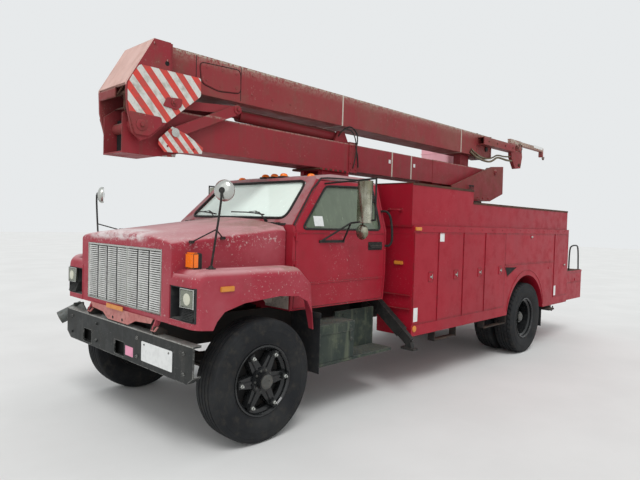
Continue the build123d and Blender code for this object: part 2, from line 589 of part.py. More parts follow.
ARCH_OUTLINE = [(FRONT_AXLE_X + along, z) for along, z in (
    (-542, 800), (-520, 1050), (-450, 1170), (-330, 1225), (-119, 1241), (254, 1213), (450, 1160), (520, 1090),
    (568, 1000), (610, 800))]
with BuildPart() as hood:
    add(nose_volume(0, HOOD_BOTTOM_Z))
    outside = fender_volume(0)
    inside = fender_volume(HOOD_WALL)
    add(outside)
    mirror(outside, about=Plane.XZ)
    add(nose_volume(HOOD_WALL, HOOD_BOTTOM_Z - 60), mode=Mode.SUBTRACT)
    add(inside, mode=Mode.SUBTRACT)
    mirror(inside, about=Plane.XZ, mode=Mode.SUBTRACT)
    side_plate(ARCH_OUTLINE, (560, FENDER_OUT_Y + 110), mode=Mode.SUBTRACT)
    side_plate(ARCH_OUTLINE, (-FENDER_OUT_Y - 110, -560), mode=Mode.SUBTRACT)
    block((HOOD_FRONT_X - 60, HOOD_FRONT_X + 20), (-GRILLE_HALF_W, GRILLE_HALF_W), GRILLE_Z, Mode.SUBTRACT)
    for side in (1, -1):
        block((HOOD_FRONT_X - 105, HOOD_FRONT_X + 20), (side * LAMP_Y[0], side * LAMP_Y[1]), LAMP_Z, Mode.SUBTRACT)
        # the rear of the fender is trimmed clear of the cab door's swing
        with BuildSketch(Plane.XY.offset(800)):
            Polygon((HOOD_REAR_X, side * 700), (HOOD_REAR_X, side * (CAB_HALF_W + 10)),
                    (DOOR_FRONT_X + 12, side * (CAB_HALF_W + 10)), (DOOR_FRONT_X + 12, side * (CAB_HALF_W + 48)),
                    (DOOR_FRONT_X - 88, side * (FENDER_OUT_Y - 18)), (DOOR_FRONT_X - 200, side * (FENDER_OUT_Y - 18)),
                    (DOOR_FRONT_X - 200, side * 700), align=None)
        extrude(amount=1100, mode=Mode.SUBTRACT)
        lug_y = (side * 604, side * 622)
        side_plate(((HOOD_FRONT_X - 6, HOOD_BOTTOM_Z + 30), (HOOD_FRONT_X - 60, HOOD_BOTTOM_Z + 10),
                    (HOOD_PIVOT[0] - 22, HOOD_PIVOT[1]), (HOOD_PIVOT[0], HOOD_PIVOT[1] - 16),
                    (HOOD_PIVOT[0] + 20, HOOD_PIVOT[1] + 6), (HOOD_FRONT_X - 2, HOOD_BOTTOM_Z + 6)),
                   (min(lug_y), max(lug_y)))
        cross_bar(HOOD_PIVOT, 10, (min(side * 586, side * 640), max(side * 586, side * 640)))
save(hood, "hood")

# Grille: a frame with six uprights and fine slats
GRILLE_COLUMNS = 7
GRILLE_ROWS = 27
with BuildPart() as grille:
    edge = 16
    upright = 22
    slat_pitch = (GRILLE_Z[1] - GRILLE_Z[0] - 2 * edge) / GRILLE_ROWS
    column_pitch = (2 * GRILLE_HALF_W - 2 * edge) / GRILLE_COLUMNS
    block((HOOD_FRONT_X - 28, HOOD_FRONT_X - 4), (-GRILLE_HALF_W + RUN_CLEAR, GRILLE_HALF_W - RUN_CLEAR),
          (GRILLE_Z[0] + RUN_CLEAR, GRILLE_Z[1] - RUN_CLEAR))
    with BuildSketch(Plane.YZ.offset(HOOD_FRONT_X - 29)):
        with Locations((0, (GRILLE_Z[0] + GRILLE_Z[1]) / 2)):
            with GridLocations(column_pitch, slat_pitch, GRILLE_COLUMNS, GRILLE_ROWS):
                Rectangle(column_pitch - upright, slat_pitch * 0.5)
    extrude(amount=40, mode=Mode.SUBTRACT)
save(grille, "grille")

# Headlamps: recessed housings with a rectangular lamp
with BuildPart() as headlamps:
    for side in (1, -1):
        y = (side * (LAMP_Y[0] + RUN_CLEAR), side * (LAMP_Y[1] - RUN_CLEAR))
        block((HOOD_FRONT_X - 100, HOOD_FRONT_X - 6), y, (LAMP_Z[0] + RUN_CLEAR, LAMP_Z[1] - RUN_CLEAR))
        block((HOOD_FRONT_X - 80, HOOD_FRONT_X), (side * (LAMP_Y[0] + 10), side * (LAMP_Y[1] - 10)),
              (LAMP_Z[0] + 10, LAMP_Z[1] - 10), Mode.SUBTRACT)
        block((HOOD_FRONT_X - 81, HOOD_FRONT_X - 30), (side * (LAMP_Y[1] - 187), side * (LAMP_Y[1] - 10)),
              (LAMP_Z[1] - 155, LAMP_Z[1] - 10))
save(headlamps, "headlamps")

# Mirrors and turn lamps on the fenders
with BuildPart() as hood_mirrors:
    for side in (1, -1):
        base_y = FENDER_OUT_Y - 169
        base = (HOOD_FRONT_X - 245, side * base_y, FENDER_CREST_Z + 8)
        block((base[0] - 30, base[0] + 30), (side * (base_y - 26), side * (base_y + 26)),
              (FENDER_CREST_Z + RUN_CLEAR, FENDER_CREST_Z + 10))
        top = (HOOD_FRONT_X - 315, side * (base_y + 79), FENDER_CREST_Z + 625)
        bar(base, top, 9)
        middle = (HOOD_FRONT_X - 280, side * (base_y + 39), FENDER_CREST_Z + 320)
        bar(middle, (HOOD_FRONT_X - 165, side * (HOOD_HALF_W - 3), FENDER_CREST_Z + 220), 6)
        with BuildSketch(Plane(origin=top, z_dir=(-1, 0, 0))):
            Circle(76)
        extrude(amount=22)
        block((HOOD_FRONT_X - 185, HOOD_FRONT_X - 105), (side * (HOOD_HALF_W + 15), side * (HOOD_HALF_W + 125)),
              (FENDER_CREST_Z + RUN_CLEAR, FENDER_CREST_Z + 126))
save(hood_mirrors, "hood_mirrors")

# Knuckles: fork on the kingpin and the stub axle
with BuildPart() as knuckle:
    for z in (TYRE_R + 55, TYRE_R - 95):
        block((FRONT_AXLE_X - 45, FRONT_AXLE_X + 45), (KINGPIN_Y - 45, KINGPIN_Y + 78), (z, z + 40))
    block((FRONT_AXLE_X - 45, FRONT_AXLE_X + 45), (KINGPIN_Y + 60, KINGPIN_Y + 80), (TYRE_R - 95, TYRE_R + 95))
    with Locations((FRONT_AXLE_X, KINGPIN_Y, TYRE_R)):
        Cylinder(KINGPIN_R, 190)
    cross_bar((FRONT_AXLE_X, TYRE_R), SPINDLE_R, (KINGPIN_Y + 78, FRONT_TRACK_Y + 75))
save_pair(knuckle, "knuckle")

# Utility body: one pack of compartments on each side
TALL_DOOR_XS = (1452, 950, 372, -198, -798)
WHEEL_DOOR_X = (-2578, -804)
WHEEL_DOOR_Z = (1352, 1798)
REAR_DOOR_X = (-3190, -2584)
DOOR_Z = (768, 1798)
with BuildPart() as body_side:
    block((BODY_REAR_X, BODY_FRONT_X), (BODY_IN_Y, BODY_OUT_Y), (BODY_BOTTOM_Z, RAIL_Z[1]))
    depth = (BODY_IN_Y + BODY_WALL, BODY_OUT_Y + 1)
    tall = [((TALL_DOOR_XS[i + 1] + 3, TALL_DOOR_XS[i] - 3), DOOR_Z) for i in range(4)]
    for x, z in tall + [(WHEEL_DOOR_X, WHEEL_DOOR_Z), (REAR_DOOR_X, DOOR_Z)]:
        block((x[0], x[1]), (BODY_OUT_Y - COMPARTMENT_DOOR_T - RUN_CLEAR, BODY_OUT_Y + 1), (z[0] - 2, z[1] + 2), Mode.SUBTRACT)
        block((x[0] + 12, x[1] - 12), depth, (z[0] + 15, z[1] - 15), Mode.SUBTRACT)
    cross_bar((ARCH_X, TYRE_R), ARCH_R, (BODY_IN_Y - 1, BODY_OUT_Y + 1), Mode.SUBTRACT)
    block((-2578, -2240), (BODY_IN_Y + BODY_WALL, BODY_OUT_Y - BODY_WALL), (BODY_BOTTOM_Z - 1, 1100), Mode.SUBTRACT)
    block((BODY_REAR_X, BODY_FRONT_X), (BODY_UPPER_Y - BODY_WALL, BODY_UPPER_Y), (RAIL_Z[1] - 1, BODY_TOP_Z))
    block((BODY_STEP_X, BODY_FRONT_X), (BODY_UPPER_Y - BODY_WALL, BODY_UPPER_Y), (BODY_TOP_Z - 1, BODY_HIGH_TOP_Z))
    block((BODY_REAR_X, BODY_STEP_X), (BODY_UPPER_Y - 60, BODY_UPPER_Y + 4), (BODY_TOP_Z - 12, BODY_TOP_Z))
    block((BODY_STEP_X, BODY_FRONT_X), (BODY_UPPER_Y - 60, BODY_UPPER_Y + 4), (BODY_HIGH_TOP_Z - 12, BODY_HIGH_TOP_Z))
save_pair(body_side, "body_side")

# Compartment doors, each on a hinge rod along its front edge, or its lower edge over the wheel
DOOR_SPECS = [("door_tall_" + str(i + 1), (TALL_DOOR_XS[i + 1] + 6, TALL_DOOR_XS[i] - 6), DOOR_Z) for i in range(4)]
DOOR_SPECS.append(("door_wheel", (WHEEL_DOOR_X[0] + 4, WHEEL_DOOR_X[1] - 4), WHEEL_DOOR_Z))
DOOR_SPECS.append(("door_rear", (REAR_DOOR_X[0] + 4, REAR_DOOR_X[1] - 4), DOOR_Z))
for name, x, z in DOOR_SPECS:
    with BuildPart() as compartment_door:
        block(x, (BODY_OUT_Y - COMPARTMENT_DOOR_T, BODY_OUT_Y), z)
        if name == "door_wheel":
            block(x, (BODY_OUT_Y - 1, HINGE_ROD_Y), (z[0], z[0] + 14))
            bar((x[0], HINGE_ROD_Y, z[0]), (x[1], HINGE_ROD_Y, z[0]), HINGE_ROD_R)
        else:
            block((x[1] - 14, x[1]), (BODY_OUT_Y - 1, HINGE_ROD_Y), z)
            bar((x[1], HINGE_ROD_Y, z[0]), (x[1], HINGE_ROD_Y, z[1]), HINGE_ROD_R)
        block((x[0] + 25, x[1] - 25), (BODY_OUT_Y - COMPARTMENT_DOOR_T - 1, BODY_OUT_Y - 4), (z[0] + 25, z[1] - 25),
              Mode.SUBTRACT)
    save_pair(compartment_door, name)

# Deck between the packs, headboard, pedestal, boom rest, and tail boxes round the well that the jib swings into
TAIL_BOX_Y = (560, 1150)
PEDESTAL_TOP = 2318
with BuildPart() as deck:
    block((BODY_REAR_X, BODY_FRONT_X), (-BODY_IN_Y + RUN_CLEAR, BODY_IN_Y - RUN_CLEAR), DECK_Z)
    for side in (1, -1):
        block((BODY_REAR_X, BODY_FRONT_X - 1), (side * RAIL_OUT_Y, side * (RAIL_OUT_Y - 80)), (RAIL_TOP + RUN_CLEAR, DECK_Z[1]))
    block((BODY_FRONT_X - 25, BODY_FRONT_X), (-BODY_IN_Y + RUN_CLEAR, BODY_IN_Y - RUN_CLEAR), (DECK_Z[0], BODY_HIGH_TOP_Z))
    with BuildSketch(Plane.XY.offset(DECK_Z[1] - 1)):
        with Locations((SLEW_X, 0)):
            Rectangle(640, 640)
    with BuildSketch(Plane.XY.offset(PEDESTAL_TOP - 60)):
        with Locations((SLEW_X, 0)):
            Rectangle(520, 520)
    loft()
    with Locations((SLEW_X, 0, PEDESTAL_TOP - 30)):
        Cylinder(330, 60)
    for side in (1, -1):
        block((BODY_FRONT_X - 60, BODY_FRONT_X + 420), (side * 120, side * 180), (BODY_HIGH_TOP_Z + 95, BODY_HIGH_TOP_Z + 145))
        block((BODY_FRONT_X - 60, BODY_FRONT_X), (side * 120, side * 180), (BODY_HIGH_TOP_Z - 200, BODY_HIGH_TOP_Z + 100))
    block((BODY_FRONT_X, BODY_FRONT_X + 500), (-230, 230), (BODY_HIGH_TOP_Z + 145, LOWER_Z[0] - 2))
    block((TAIL_X, TAIL_X + 30), (-TAIL_BOX_Y[0] - 1, TAIL_BOX_Y[0] + 1), (BODY_BOTTOM_Z + 60, DECK_Z[0]))
    for side in (1, -1):
        tail_box_x = (TAIL_X, BODY_REAR_X - RUN_CLEAR)
        block((TAIL_X, BODY_REAR_X + 1), (side * TAIL_BOX_Y[0], side * (BODY_IN_Y - RUN_CLEAR)), DECK_Z)
        block(tail_box_x, (side * TAIL_BOX_Y[0], side * TAIL_BOX_Y[1]), (BODY_BOTTOM_Z, DECK_Z[1]))
        block((TAIL_X + BODY_WALL, BODY_REAR_X - BODY_WALL),
              (side * (TAIL_BOX_Y[0] + BODY_WALL), side * (TAIL_BOX_Y[1] - BODY_WALL)),
              (BODY_BOTTOM_Z + BODY_WALL, DECK_Z[0]), Mode.SUBTRACT)
save(deck, "deck")

# Outriggers: housings on the frame behind the cab, and the sliding legs
OUTRIGGER_X = (1520, 1600)
LEG_TOE = (1290, 600)
LEG_SLOPE = 38.0
LEG_HALF = 50
LEG_WALL = 11
leg_dir = (cos(radians(LEG_SLOPE)), -sin(radians(LEG_SLOPE)))


def leg_outline(near, far, half):
    """Rectangle along the leg's slope: distances from the toe back up the leg."""
    points = []
    for along, across in ((near, half), (far, half), (far, -half), (near, -half)):
        y = LEG_TOE[0] - along * leg_dir[0] - across * leg_dir[1]
        z = LEG_TOE[1] - along * leg_dir[1] + across * leg_dir[0]
        points.append((y, z))
    return points


with BuildPart() as outriggers:
    for side in (1, -1):
        cross_plate([(side * y, z) for y, z in leg_outline(160, 1400, LEG_HALF + LEG_WALL)], OUTRIGGER_X)
    block(OUTRIGGER_X, (-440, 440), (1180, 1290))
    for side in (1, -1):
        block(OUTRIGGER_X, (side * (RAIL_OUT_Y + RUN_CLEAR), side * 620), (RAIL_BOTTOM + 30, 1130))
    for side in (1, -1):
        cross_plate([(side * y, z) for y, z in leg_outline(150, 1410, LEG_HALF + RUN_CLEAR)],
                    (OUTRIGGER_X[0] + LEG_WALL, OUTRIGGER_X[1] - LEG_WALL), mode=Mode.SUBTRACT)
save(outriggers, "outrigger_frame")

with BuildPart() as leg:
    leg_x = (OUTRIGGER_X[0] + LEG_WALL + RUN_CLEAR, OUTRIGGER_X[1] - LEG_WALL - RUN_CLEAR)
    cross_plate(leg_outline(20, 1380, LEG_HALF), leg_x)
    block(OUTRIGGER_X, (LEG_TOE[0] - 110, LEG_TOE[0] + 60), (LEG_TOE[1] - 75, LEG_TOE[1] - 50))
    cross_plate(((LEG_TOE[0] - 70, LEG_TOE[1] - 51), (LEG_TOE[0] - 40, LEG_TOE[1] + 30), (LEG_TOE[0] + 10, LEG_TOE[1] + 10),
                 (LEG_TOE[0] + 30, LEG_TOE[1] - 51)), leg_x)
save_pair(leg, "outrigger_leg")

# Turret: turning base and two side plates round the lower boom's root
TURRET_OUTLINE = ((-2540, 2940), (-2120, 2900), (-860, 2500), (-860, 2472), (-1250, 2322), (-2100, 2322), (-2550, 2465))
with BuildPart() as turret:
    with Locations((SLEW_X, 0, PEDESTAL_TOP + RUN_CLEAR + 15)):
        Cylinder(345, 30)
    for y in (TURRET_PLATE_Y, (-TURRET_PLATE_Y[1], -TURRET_PLATE_Y[0])):
        side_plate(TURRET_OUTLINE, y)
        cross_bar(LOWER_PIVOT, 85, y)
    block((-2100, -1250), (-TURRET_PLATE_Y[1], TURRET_PLATE_Y[1]), (PEDESTAL_TOP + RUN_CLEAR, PEDESTAL_TOP + 30))
    block((-2545, -2525), (-TURRET_PLATE_Y[0], TURRET_PLATE_Y[0]), (2470, 2690))
    cross_bar(LOWER_PIVOT, PIN_R + 0.05, (-310, 310), Mode.SUBTRACT)
    for side in (1, -1):
        block((LIFT_BASE_PIN[0] - 60, LIFT_BASE_PIN[0] + 50), (side * 100, side * 125), (PEDESTAL_TOP + 20, LIFT_BASE_PIN[1] + 45))
    cross_bar(LIFT_BASE_PIN, 30, (-125, 125))
save(turret, "turret")

# Lower boom: steel head and root, with the insulating section between
LOWER_HEAD = ((COLLAR_X, LOWER_Z[0]), (3560, LOWER_Z[0]), (4010, 2422), (4326, 2426), (4326, 2760), (4200, LOWER_Z[1]),
              (COLLAR_X, LOWER_Z[1]))
LOWER_ROOT = ((INSULATOR_X[0] + 1, LOWER_Z[0]), (INSULATOR_X[0] + 1, LOWER_Z[1]), (-2380, LOWER_Z[1]), (-2400, 2700), (-2350, LOWER_Z[0]))
HEAD_INSIDE = ((COLLAR_X - 1, LOWER_Z[0] + BOOM_WALL), (3560, LOWER_Z[0] + BOOM_WALL), (4010, 2422 + BOOM_WALL),
               (4400, 2426 + BOOM_WALL), (4400, 2760), (4200, LOWER_Z[1] - BOOM_WALL), (COLLAR_X - 1, LOWER_Z[1] - BOOM_WALL))
boom_y = (-BOOM_HALF_W, BOOM_HALF_W)
boom_in_y = (-BOOM_HALF_W + BOOM_WALL, BOOM_HALF_W - BOOM_WALL)
with BuildPart() as lower_boom:
    side_plate(LOWER_HEAD, boom_y)
    side_plate(HEAD_INSIDE, boom_in_y, mode=Mode.SUBTRACT)
    block((COLLAR_X - 110, COLLAR_X + 40), (-BOOM_HALF_W - 12, BOOM_HALF_W + 12), (LOWER_Z[0] - 12, LOWER_Z[1] + 12))
    block((COLLAR_X - 111, COLLAR_X + 41), boom_in_y, (LOWER_Z[0] + BOOM_WALL, LOWER_Z[1] - BOOM_WALL), Mode.SUBTRACT)
    side_plate(LOWER_ROOT, boom_y)
    block((-2420, INSULATOR_X[0] + 2), boom_in_y, (LOWER_Z[0] + BOOM_WALL, LOWER_Z[1] - BOOM_WALL), Mode.SUBTRACT)
    block((-2420, -1250), boom_in_y, (LOWER_Z[0] - 1, LOWER_Z[0] + BOOM_WALL + 1), Mode.SUBTRACT)
    for y in ((BOOM_HALF_W - 30, 274), (-274, -BOOM_HALF_W + 30)):
        cross_bar(LOWER_PIVOT, 85, y)
    for y in ((BOOM_HALF_W - BOOM_WALL, 209.7), (-209.7, -BOOM_HALF_W + BOOM_WALL)):
        cross_bar(ARM_PIN, 55, y)
    for y in (LUG_Y, (-LUG_Y[1], -LUG_Y[0])):
        side_plate(((ELBOW_BARREL_PIN[0] - 150, LOWER_Z[1] - 2), (ELBOW_BARREL_PIN[0] - 60, ELBOW_BARREL_PIN[1] + 55),
                    (ELBOW_BARREL_PIN[0] + 60, ELBOW_BARREL_PIN[1] + 55),
                    (ELBOW_BARREL_PIN[0] + 120, LOWER_Z[1] - 2)), y)
        side_plate(((LIFT_BOOM_PIN[0] - 60, LIFT_BOOM_PIN[1] - 45), (LIFT_BOOM_PIN[0] - 120, LOWER_Z[0] + 2),
                    (LIFT_BOOM_PIN[0] + 140, LOWER_Z[0] + 2), (LIFT_BOOM_PIN[0] + 50, LIFT_BOOM_PIN[1] - 45)), y)
    cross_bar(ELBOW_BARREL_PIN, 30, (-105, 105))
    cross_bar(LOWER_PIVOT, PIN_R, (-308, 308))
    cross_bar(ELBOW_PIVOT, PIN_R + 0.05, (-200, 200), Mode.SUBTRACT)
    cross_bar(ARM_PIN, 25.05, (-250, 250), Mode.SUBTRACT)
    block(REST_POST_X, (-60, 60), (LOWER_Z[1] - 2, UPPER_Z[0] - 2))
save(lower_boom, "lower_boom")

with BuildPart() as insulator:
    block((INSULATOR_X[0] + 1.3, INSULATOR_X[1] - 2.3), (-BOOM_HALF_W + 4, BOOM_HALF_W - 4), (LOWER_Z[0] + 6, LOWER_Z[1] - 4))
    block((INSULATOR_X[0], INSULATOR_X[1]), boom_in_y, (LOWER_Z[0] + BOOM_WALL + 6, LOWER_Z[1] - BOOM_WALL - 4), Mode.SUBTRACT)
save(insulator, "lower_boom_insulator")

# Upper boom with the jib bracket at its tip
with BuildPart() as upper_boom:
    block((UPPER_TIP_X, 3900), boom_y, UPPER_Z)
    block((UPPER_TIP_X - 1, 3850), boom_in_y, (UPPER_Z[0] + BOOM_WALL, UPPER_Z[1] - BOOM_WALL), Mode.SUBTRACT)
    cross_bar(LEVEL_SHAFT, 40.05, (-200, 200), Mode.SUBTRACT)
    block((-2940, -1790), (BOOM_HALF_W, JIB_Y[1]), (3240, 3368))
    block((-2200, -1780), (BOOM_HALF_W + 14, JIB_Y[1] - 12), (3252, 3356), Mode.SUBTRACT)
    side_plate(((-2900, 3480), (-3330, 3480), (-3400, 3200), (-3340, 2990), (-3120, 2960), (-2950, 3150)), (JIB_Y[0], JIB_Y[0] + 60))
    cross_bar((-3150, 3330), 60, (JIB_Y[0] - 1, JIB_Y[1] + 1), Mode.SUBTRACT)
    block((JIB_END_X, -3250), (JIB_Y[0], JIB_Y[0] + 70), (3400, 3470))
    block((JIB_END_X, JIB_END_X + 60), (JIB_Y[0], JIB_Y[0] + 70), (3300, 3401))
save(upper_boom, "upper_boom")

# Elbow head: crank plates, front cover and the elbow pin
CRANK_OUTLINE = ((3500, UPPER_Z[0]), (3500, UPPER_Z[1]), (4095, 3425), (ELBOW_FRONT_X, 3000), (4332, 2800), (4280, 2590), (4205, 2530),
                 (4110, 2570), (3850, 2830), (3770, 2920), (3770, UPPER_Z[0]))
with BuildPart() as elbow_head:
    for y in (CRANK_Y, (-CRANK_Y[1], -CRANK_Y[0])):
        side_plate(CRANK_OUTLINE, y)
        side = 1 if y[0] > 0 else -1
        inner = (BOOM_HALF_W + RUN_CLEAR, CRANK_Y[0] + 1) if side > 0 else (-CRANK_Y[0] - 1, -BOOM_HALF_W - RUN_CLEAR)
        block((3500, 3899), inner, UPPER_Z)
        cross_bar(ELBOW_PIVOT, 80, inner)
        pin_y = (LINK_BAR_Y[0], CRANK_Y[0] + 1) if side > 0 else (-CRANK_Y[0] - 1, -LINK_BAR_Y[0])
        cross_bar(CRANK_PIN, 25, pin_y)
    side_plate(((3900.3, UPPER_Z[0]), (3900.3, UPPER_Z[1]), (4095, 3425), (ELBOW_FRONT_X, 3000), (4318, 2990), (4082, 3405), (3920, 3405),
                (3920, UPPER_Z[0])), (-CRANK_Y[0] - 1, CRANK_Y[0] + 1))
    cross_bar(ELBOW_PIVOT, PIN_R, (-CRANK_Y[1] - 20, CRANK_Y[1] + 20))
save(elbow_head, "elbow_head")

# Elbow linkage and its cylinder
with BuildPart() as link_arms:
    for y in (LINK_ARM_Y, (-LINK_ARM_Y[1], -LINK_ARM_Y[0])):
        link(ARM_PIN, ROD_PIN, 48, y)
    cross_bar(ARM_PIN, 25, (-LINK_ARM_Y[1] - 18, LINK_ARM_Y[1] + 18))
save(link_arms, "link_arms")

with BuildPart() as link_bars:
    for y in (LINK_BAR_Y, (-LINK_BAR_Y[1], -LINK_BAR_Y[0])):
        link(CRANK_PIN, ROD_PIN, 40, y)
        cross_bar(CRANK_PIN, 25.05, (y[0] - 1, y[1] + 1), Mode.SUBTRACT)
save(link_bars, "link_bars")


def cylinder_pair(base, end, barrel_r, rod_r, name, eye_half):
    """A hydraulic cylinder between two (x, z) pins: a barrel with its eye, and a rod with its eye."""
    length = hypot(end[0] - base[0], end[1] - base[1])
    along = ((end[0] - base[0]) / length, (end[1] - base[1]) / length)

    def at(distance):
        return (base[0] + along[0] * distance, 0, base[1] + along[1] * distance)

    barrel_end = length - 170
    with BuildPart() as barrel:
        bar(at(40), at(barrel_end), barrel_r)
        cross_bar(base, 55, (-eye_half, eye_half))
        bar(at(90), at(barrel_end + 1), rod_r + 0.5, Mode.SUBTRACT)
        cross_bar(base, 30.05, (-eye_half - 1, eye_half + 1), Mode.SUBTRACT)
    save(barrel, name + "_barrel")
    with BuildPart() as rod:
        bar(at(100), at(length - 30), rod_r)
        cross_bar(end, 55, (-eye_half, eye_half))
    return rod.part


rod_shape = cylinder_pair(ELBOW_BARREL_PIN, ROD_PIN, 64, 34, "elbow_cylinder", 60)
with BuildPart() as elbow_rod:
    add(rod_shape)
    cross_bar(ROD_PIN, 28, (-LINK_BAR_Y[0] + RUN_CLEAR, LINK_BAR_Y[0] - RUN_CLEAR))
save(elbow_rod, "elbow_cylinder_rod")
rod_shape = cylinder_pair(LIFT_BASE_PIN, LIFT_BOOM_PIN, 70, 40, "lift_cylinder", 68)
with BuildPart() as lift_rod:
    add(rod_shape)
    cross_bar(LIFT_BOOM_PIN, 30, (-LUG_Y[0] + RUN_CLEAR, LUG_Y[0] - RUN_CLEAR))
save(lift_rod, "lift_cylinder_rod")

# Bucket levelling bracket and bucket
with BuildPart() as bucket_bracket:
    cross_bar(LEVEL_SHAFT, 40, (-290, 200))
    cross_bar(LEVEL_SHAFT, 90, (-250, -BOOM_HALF_W - 1))
save(bucket_bracket, "level_shaft")
with BuildPart() as bucket:
    with BuildSketch(Plane.XY.offset(BUCKET_Z[0])):
        with Locations(((BUCKET_X[0] + BUCKET_X[1]) / 2, (BUCKET_Y[0] + BUCKET_Y[1]) / 2)):
            RectangleRounded(BUCKET_X[1] - BUCKET_X[0] - 40, BUCKET_Y[1] - BUCKET_Y[0] - 40, 60)
    with BuildSketch(Plane.XY.offset(BUCKET_Z[1])):
        with Locations(((BUCKET_X[0] + BUCKET_X[1]) / 2, (BUCKET_Y[0] + BUCKET_Y[1]) / 2)):
            RectangleRounded(BUCKET_X[1] - BUCKET_X[0], BUCKET_Y[1] - BUCKET_Y[0], 60)
    loft()
    offset(amount=-BUCKET_WALL, openings=bucket.faces().sort_by(Axis.Z)[-1])
    cross_bar(LEVEL_SHAFT, 60, (BUCKET_Y[1] - 10, -252))
    cross_bar(LEVEL_SHAFT, 40.05, (-330, -251), Mode.SUBTRACT)
save(bucket, "bucket")
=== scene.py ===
"""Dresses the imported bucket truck: weathered paint, tyres with tread, lamps, latches, stripes and hoses."""

import math

import bmesh
import bpy
from mathutils import Matrix, Vector


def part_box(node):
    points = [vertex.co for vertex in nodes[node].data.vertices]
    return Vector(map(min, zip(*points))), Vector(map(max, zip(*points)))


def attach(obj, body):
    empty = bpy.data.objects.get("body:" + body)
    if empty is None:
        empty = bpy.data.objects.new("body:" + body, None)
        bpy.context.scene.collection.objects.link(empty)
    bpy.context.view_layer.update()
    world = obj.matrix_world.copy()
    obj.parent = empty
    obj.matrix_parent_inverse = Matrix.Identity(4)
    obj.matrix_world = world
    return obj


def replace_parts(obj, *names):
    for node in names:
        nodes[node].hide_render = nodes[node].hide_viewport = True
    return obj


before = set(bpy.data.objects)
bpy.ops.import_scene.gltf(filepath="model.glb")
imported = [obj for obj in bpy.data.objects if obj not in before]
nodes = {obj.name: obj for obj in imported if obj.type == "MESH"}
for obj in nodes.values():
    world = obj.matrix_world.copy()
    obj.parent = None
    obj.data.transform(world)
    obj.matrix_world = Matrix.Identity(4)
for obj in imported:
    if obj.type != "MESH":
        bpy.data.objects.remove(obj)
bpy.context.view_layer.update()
AHEAD, BACK, OUT, UP = (1, 0, 0), (-1, 0, 0), (0, 1, 0), (0, 0, 1)
SIDES = (("left", 1), ("right", -1))

# Camera, fitted to the photograph, in the CAD frame
CAMERA_AT = (6.462, 4.61, 1.87)
CAMERA_YAW, CAMERA_PITCH, CAMERA_ROLL = 224.01, -1.78, 1.62
CAMERA_LENS = 30.46

# Places on the truck that more than one detail stands on
TYRE_R = 0.527
FRONT_AXLE_X, REAR_AXLE_X = 3.51, -1.595
FRONT_Y = 1.032
REAR_YS = (0.742, 1.072)
CAB_HALF, CAB_BELT, CAB_SHOULDER, CAB_TOP_HALF = 0.962, 1.8, 2.31, 0.815
SHIELD_FOOT, SHIELD_HEAD = (3.048, 1.85), (2.58, 2.34)
HOOD_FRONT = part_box("hood")[1].x
BODY_REAR, BODY_FRONT = (corner.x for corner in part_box("body_side_left"))
FENDER_Y = 1.19
BODY_Y = 1.215
ELBOW_X, ELBOW_Z = 4.205, 2.663
PLATE_Y = 0.2695
BOOM_Y = 0.18
SLEW_X = -1.64


def place_camera():
    """Sets the camera from its place, its three angles and its lens."""
    yaw, pitch, roll = (math.radians(a) for a in (CAMERA_YAW, CAMERA_PITCH, CAMERA_ROLL))
    forward = Vector((math.cos(yaw) * math.cos(pitch), math.sin(yaw) * math.cos(pitch), math.sin(pitch)))
    level_right = Vector((math.sin(yaw), -math.cos(yaw), 0))
    level_up = level_right.cross(forward)
    right = math.cos(roll) * level_right + math.sin(roll) * level_up
    up = -math.sin(roll) * level_right + math.cos(roll) * level_up
    data = bpy.data.cameras.new("camera")
    data.lens, data.sensor_width = CAMERA_LENS, 36.0
    data.clip_start, data.clip_end = 0.1, 200
    camera = bpy.data.objects.new("camera", data)
    bpy.context.scene.collection.objects.link(camera)
    camera.matrix_world = Matrix.Translation(CAMERA_AT) @ Matrix((right, up, -forward)).transposed().to_4x4()
    bpy.context.scene.camera = camera


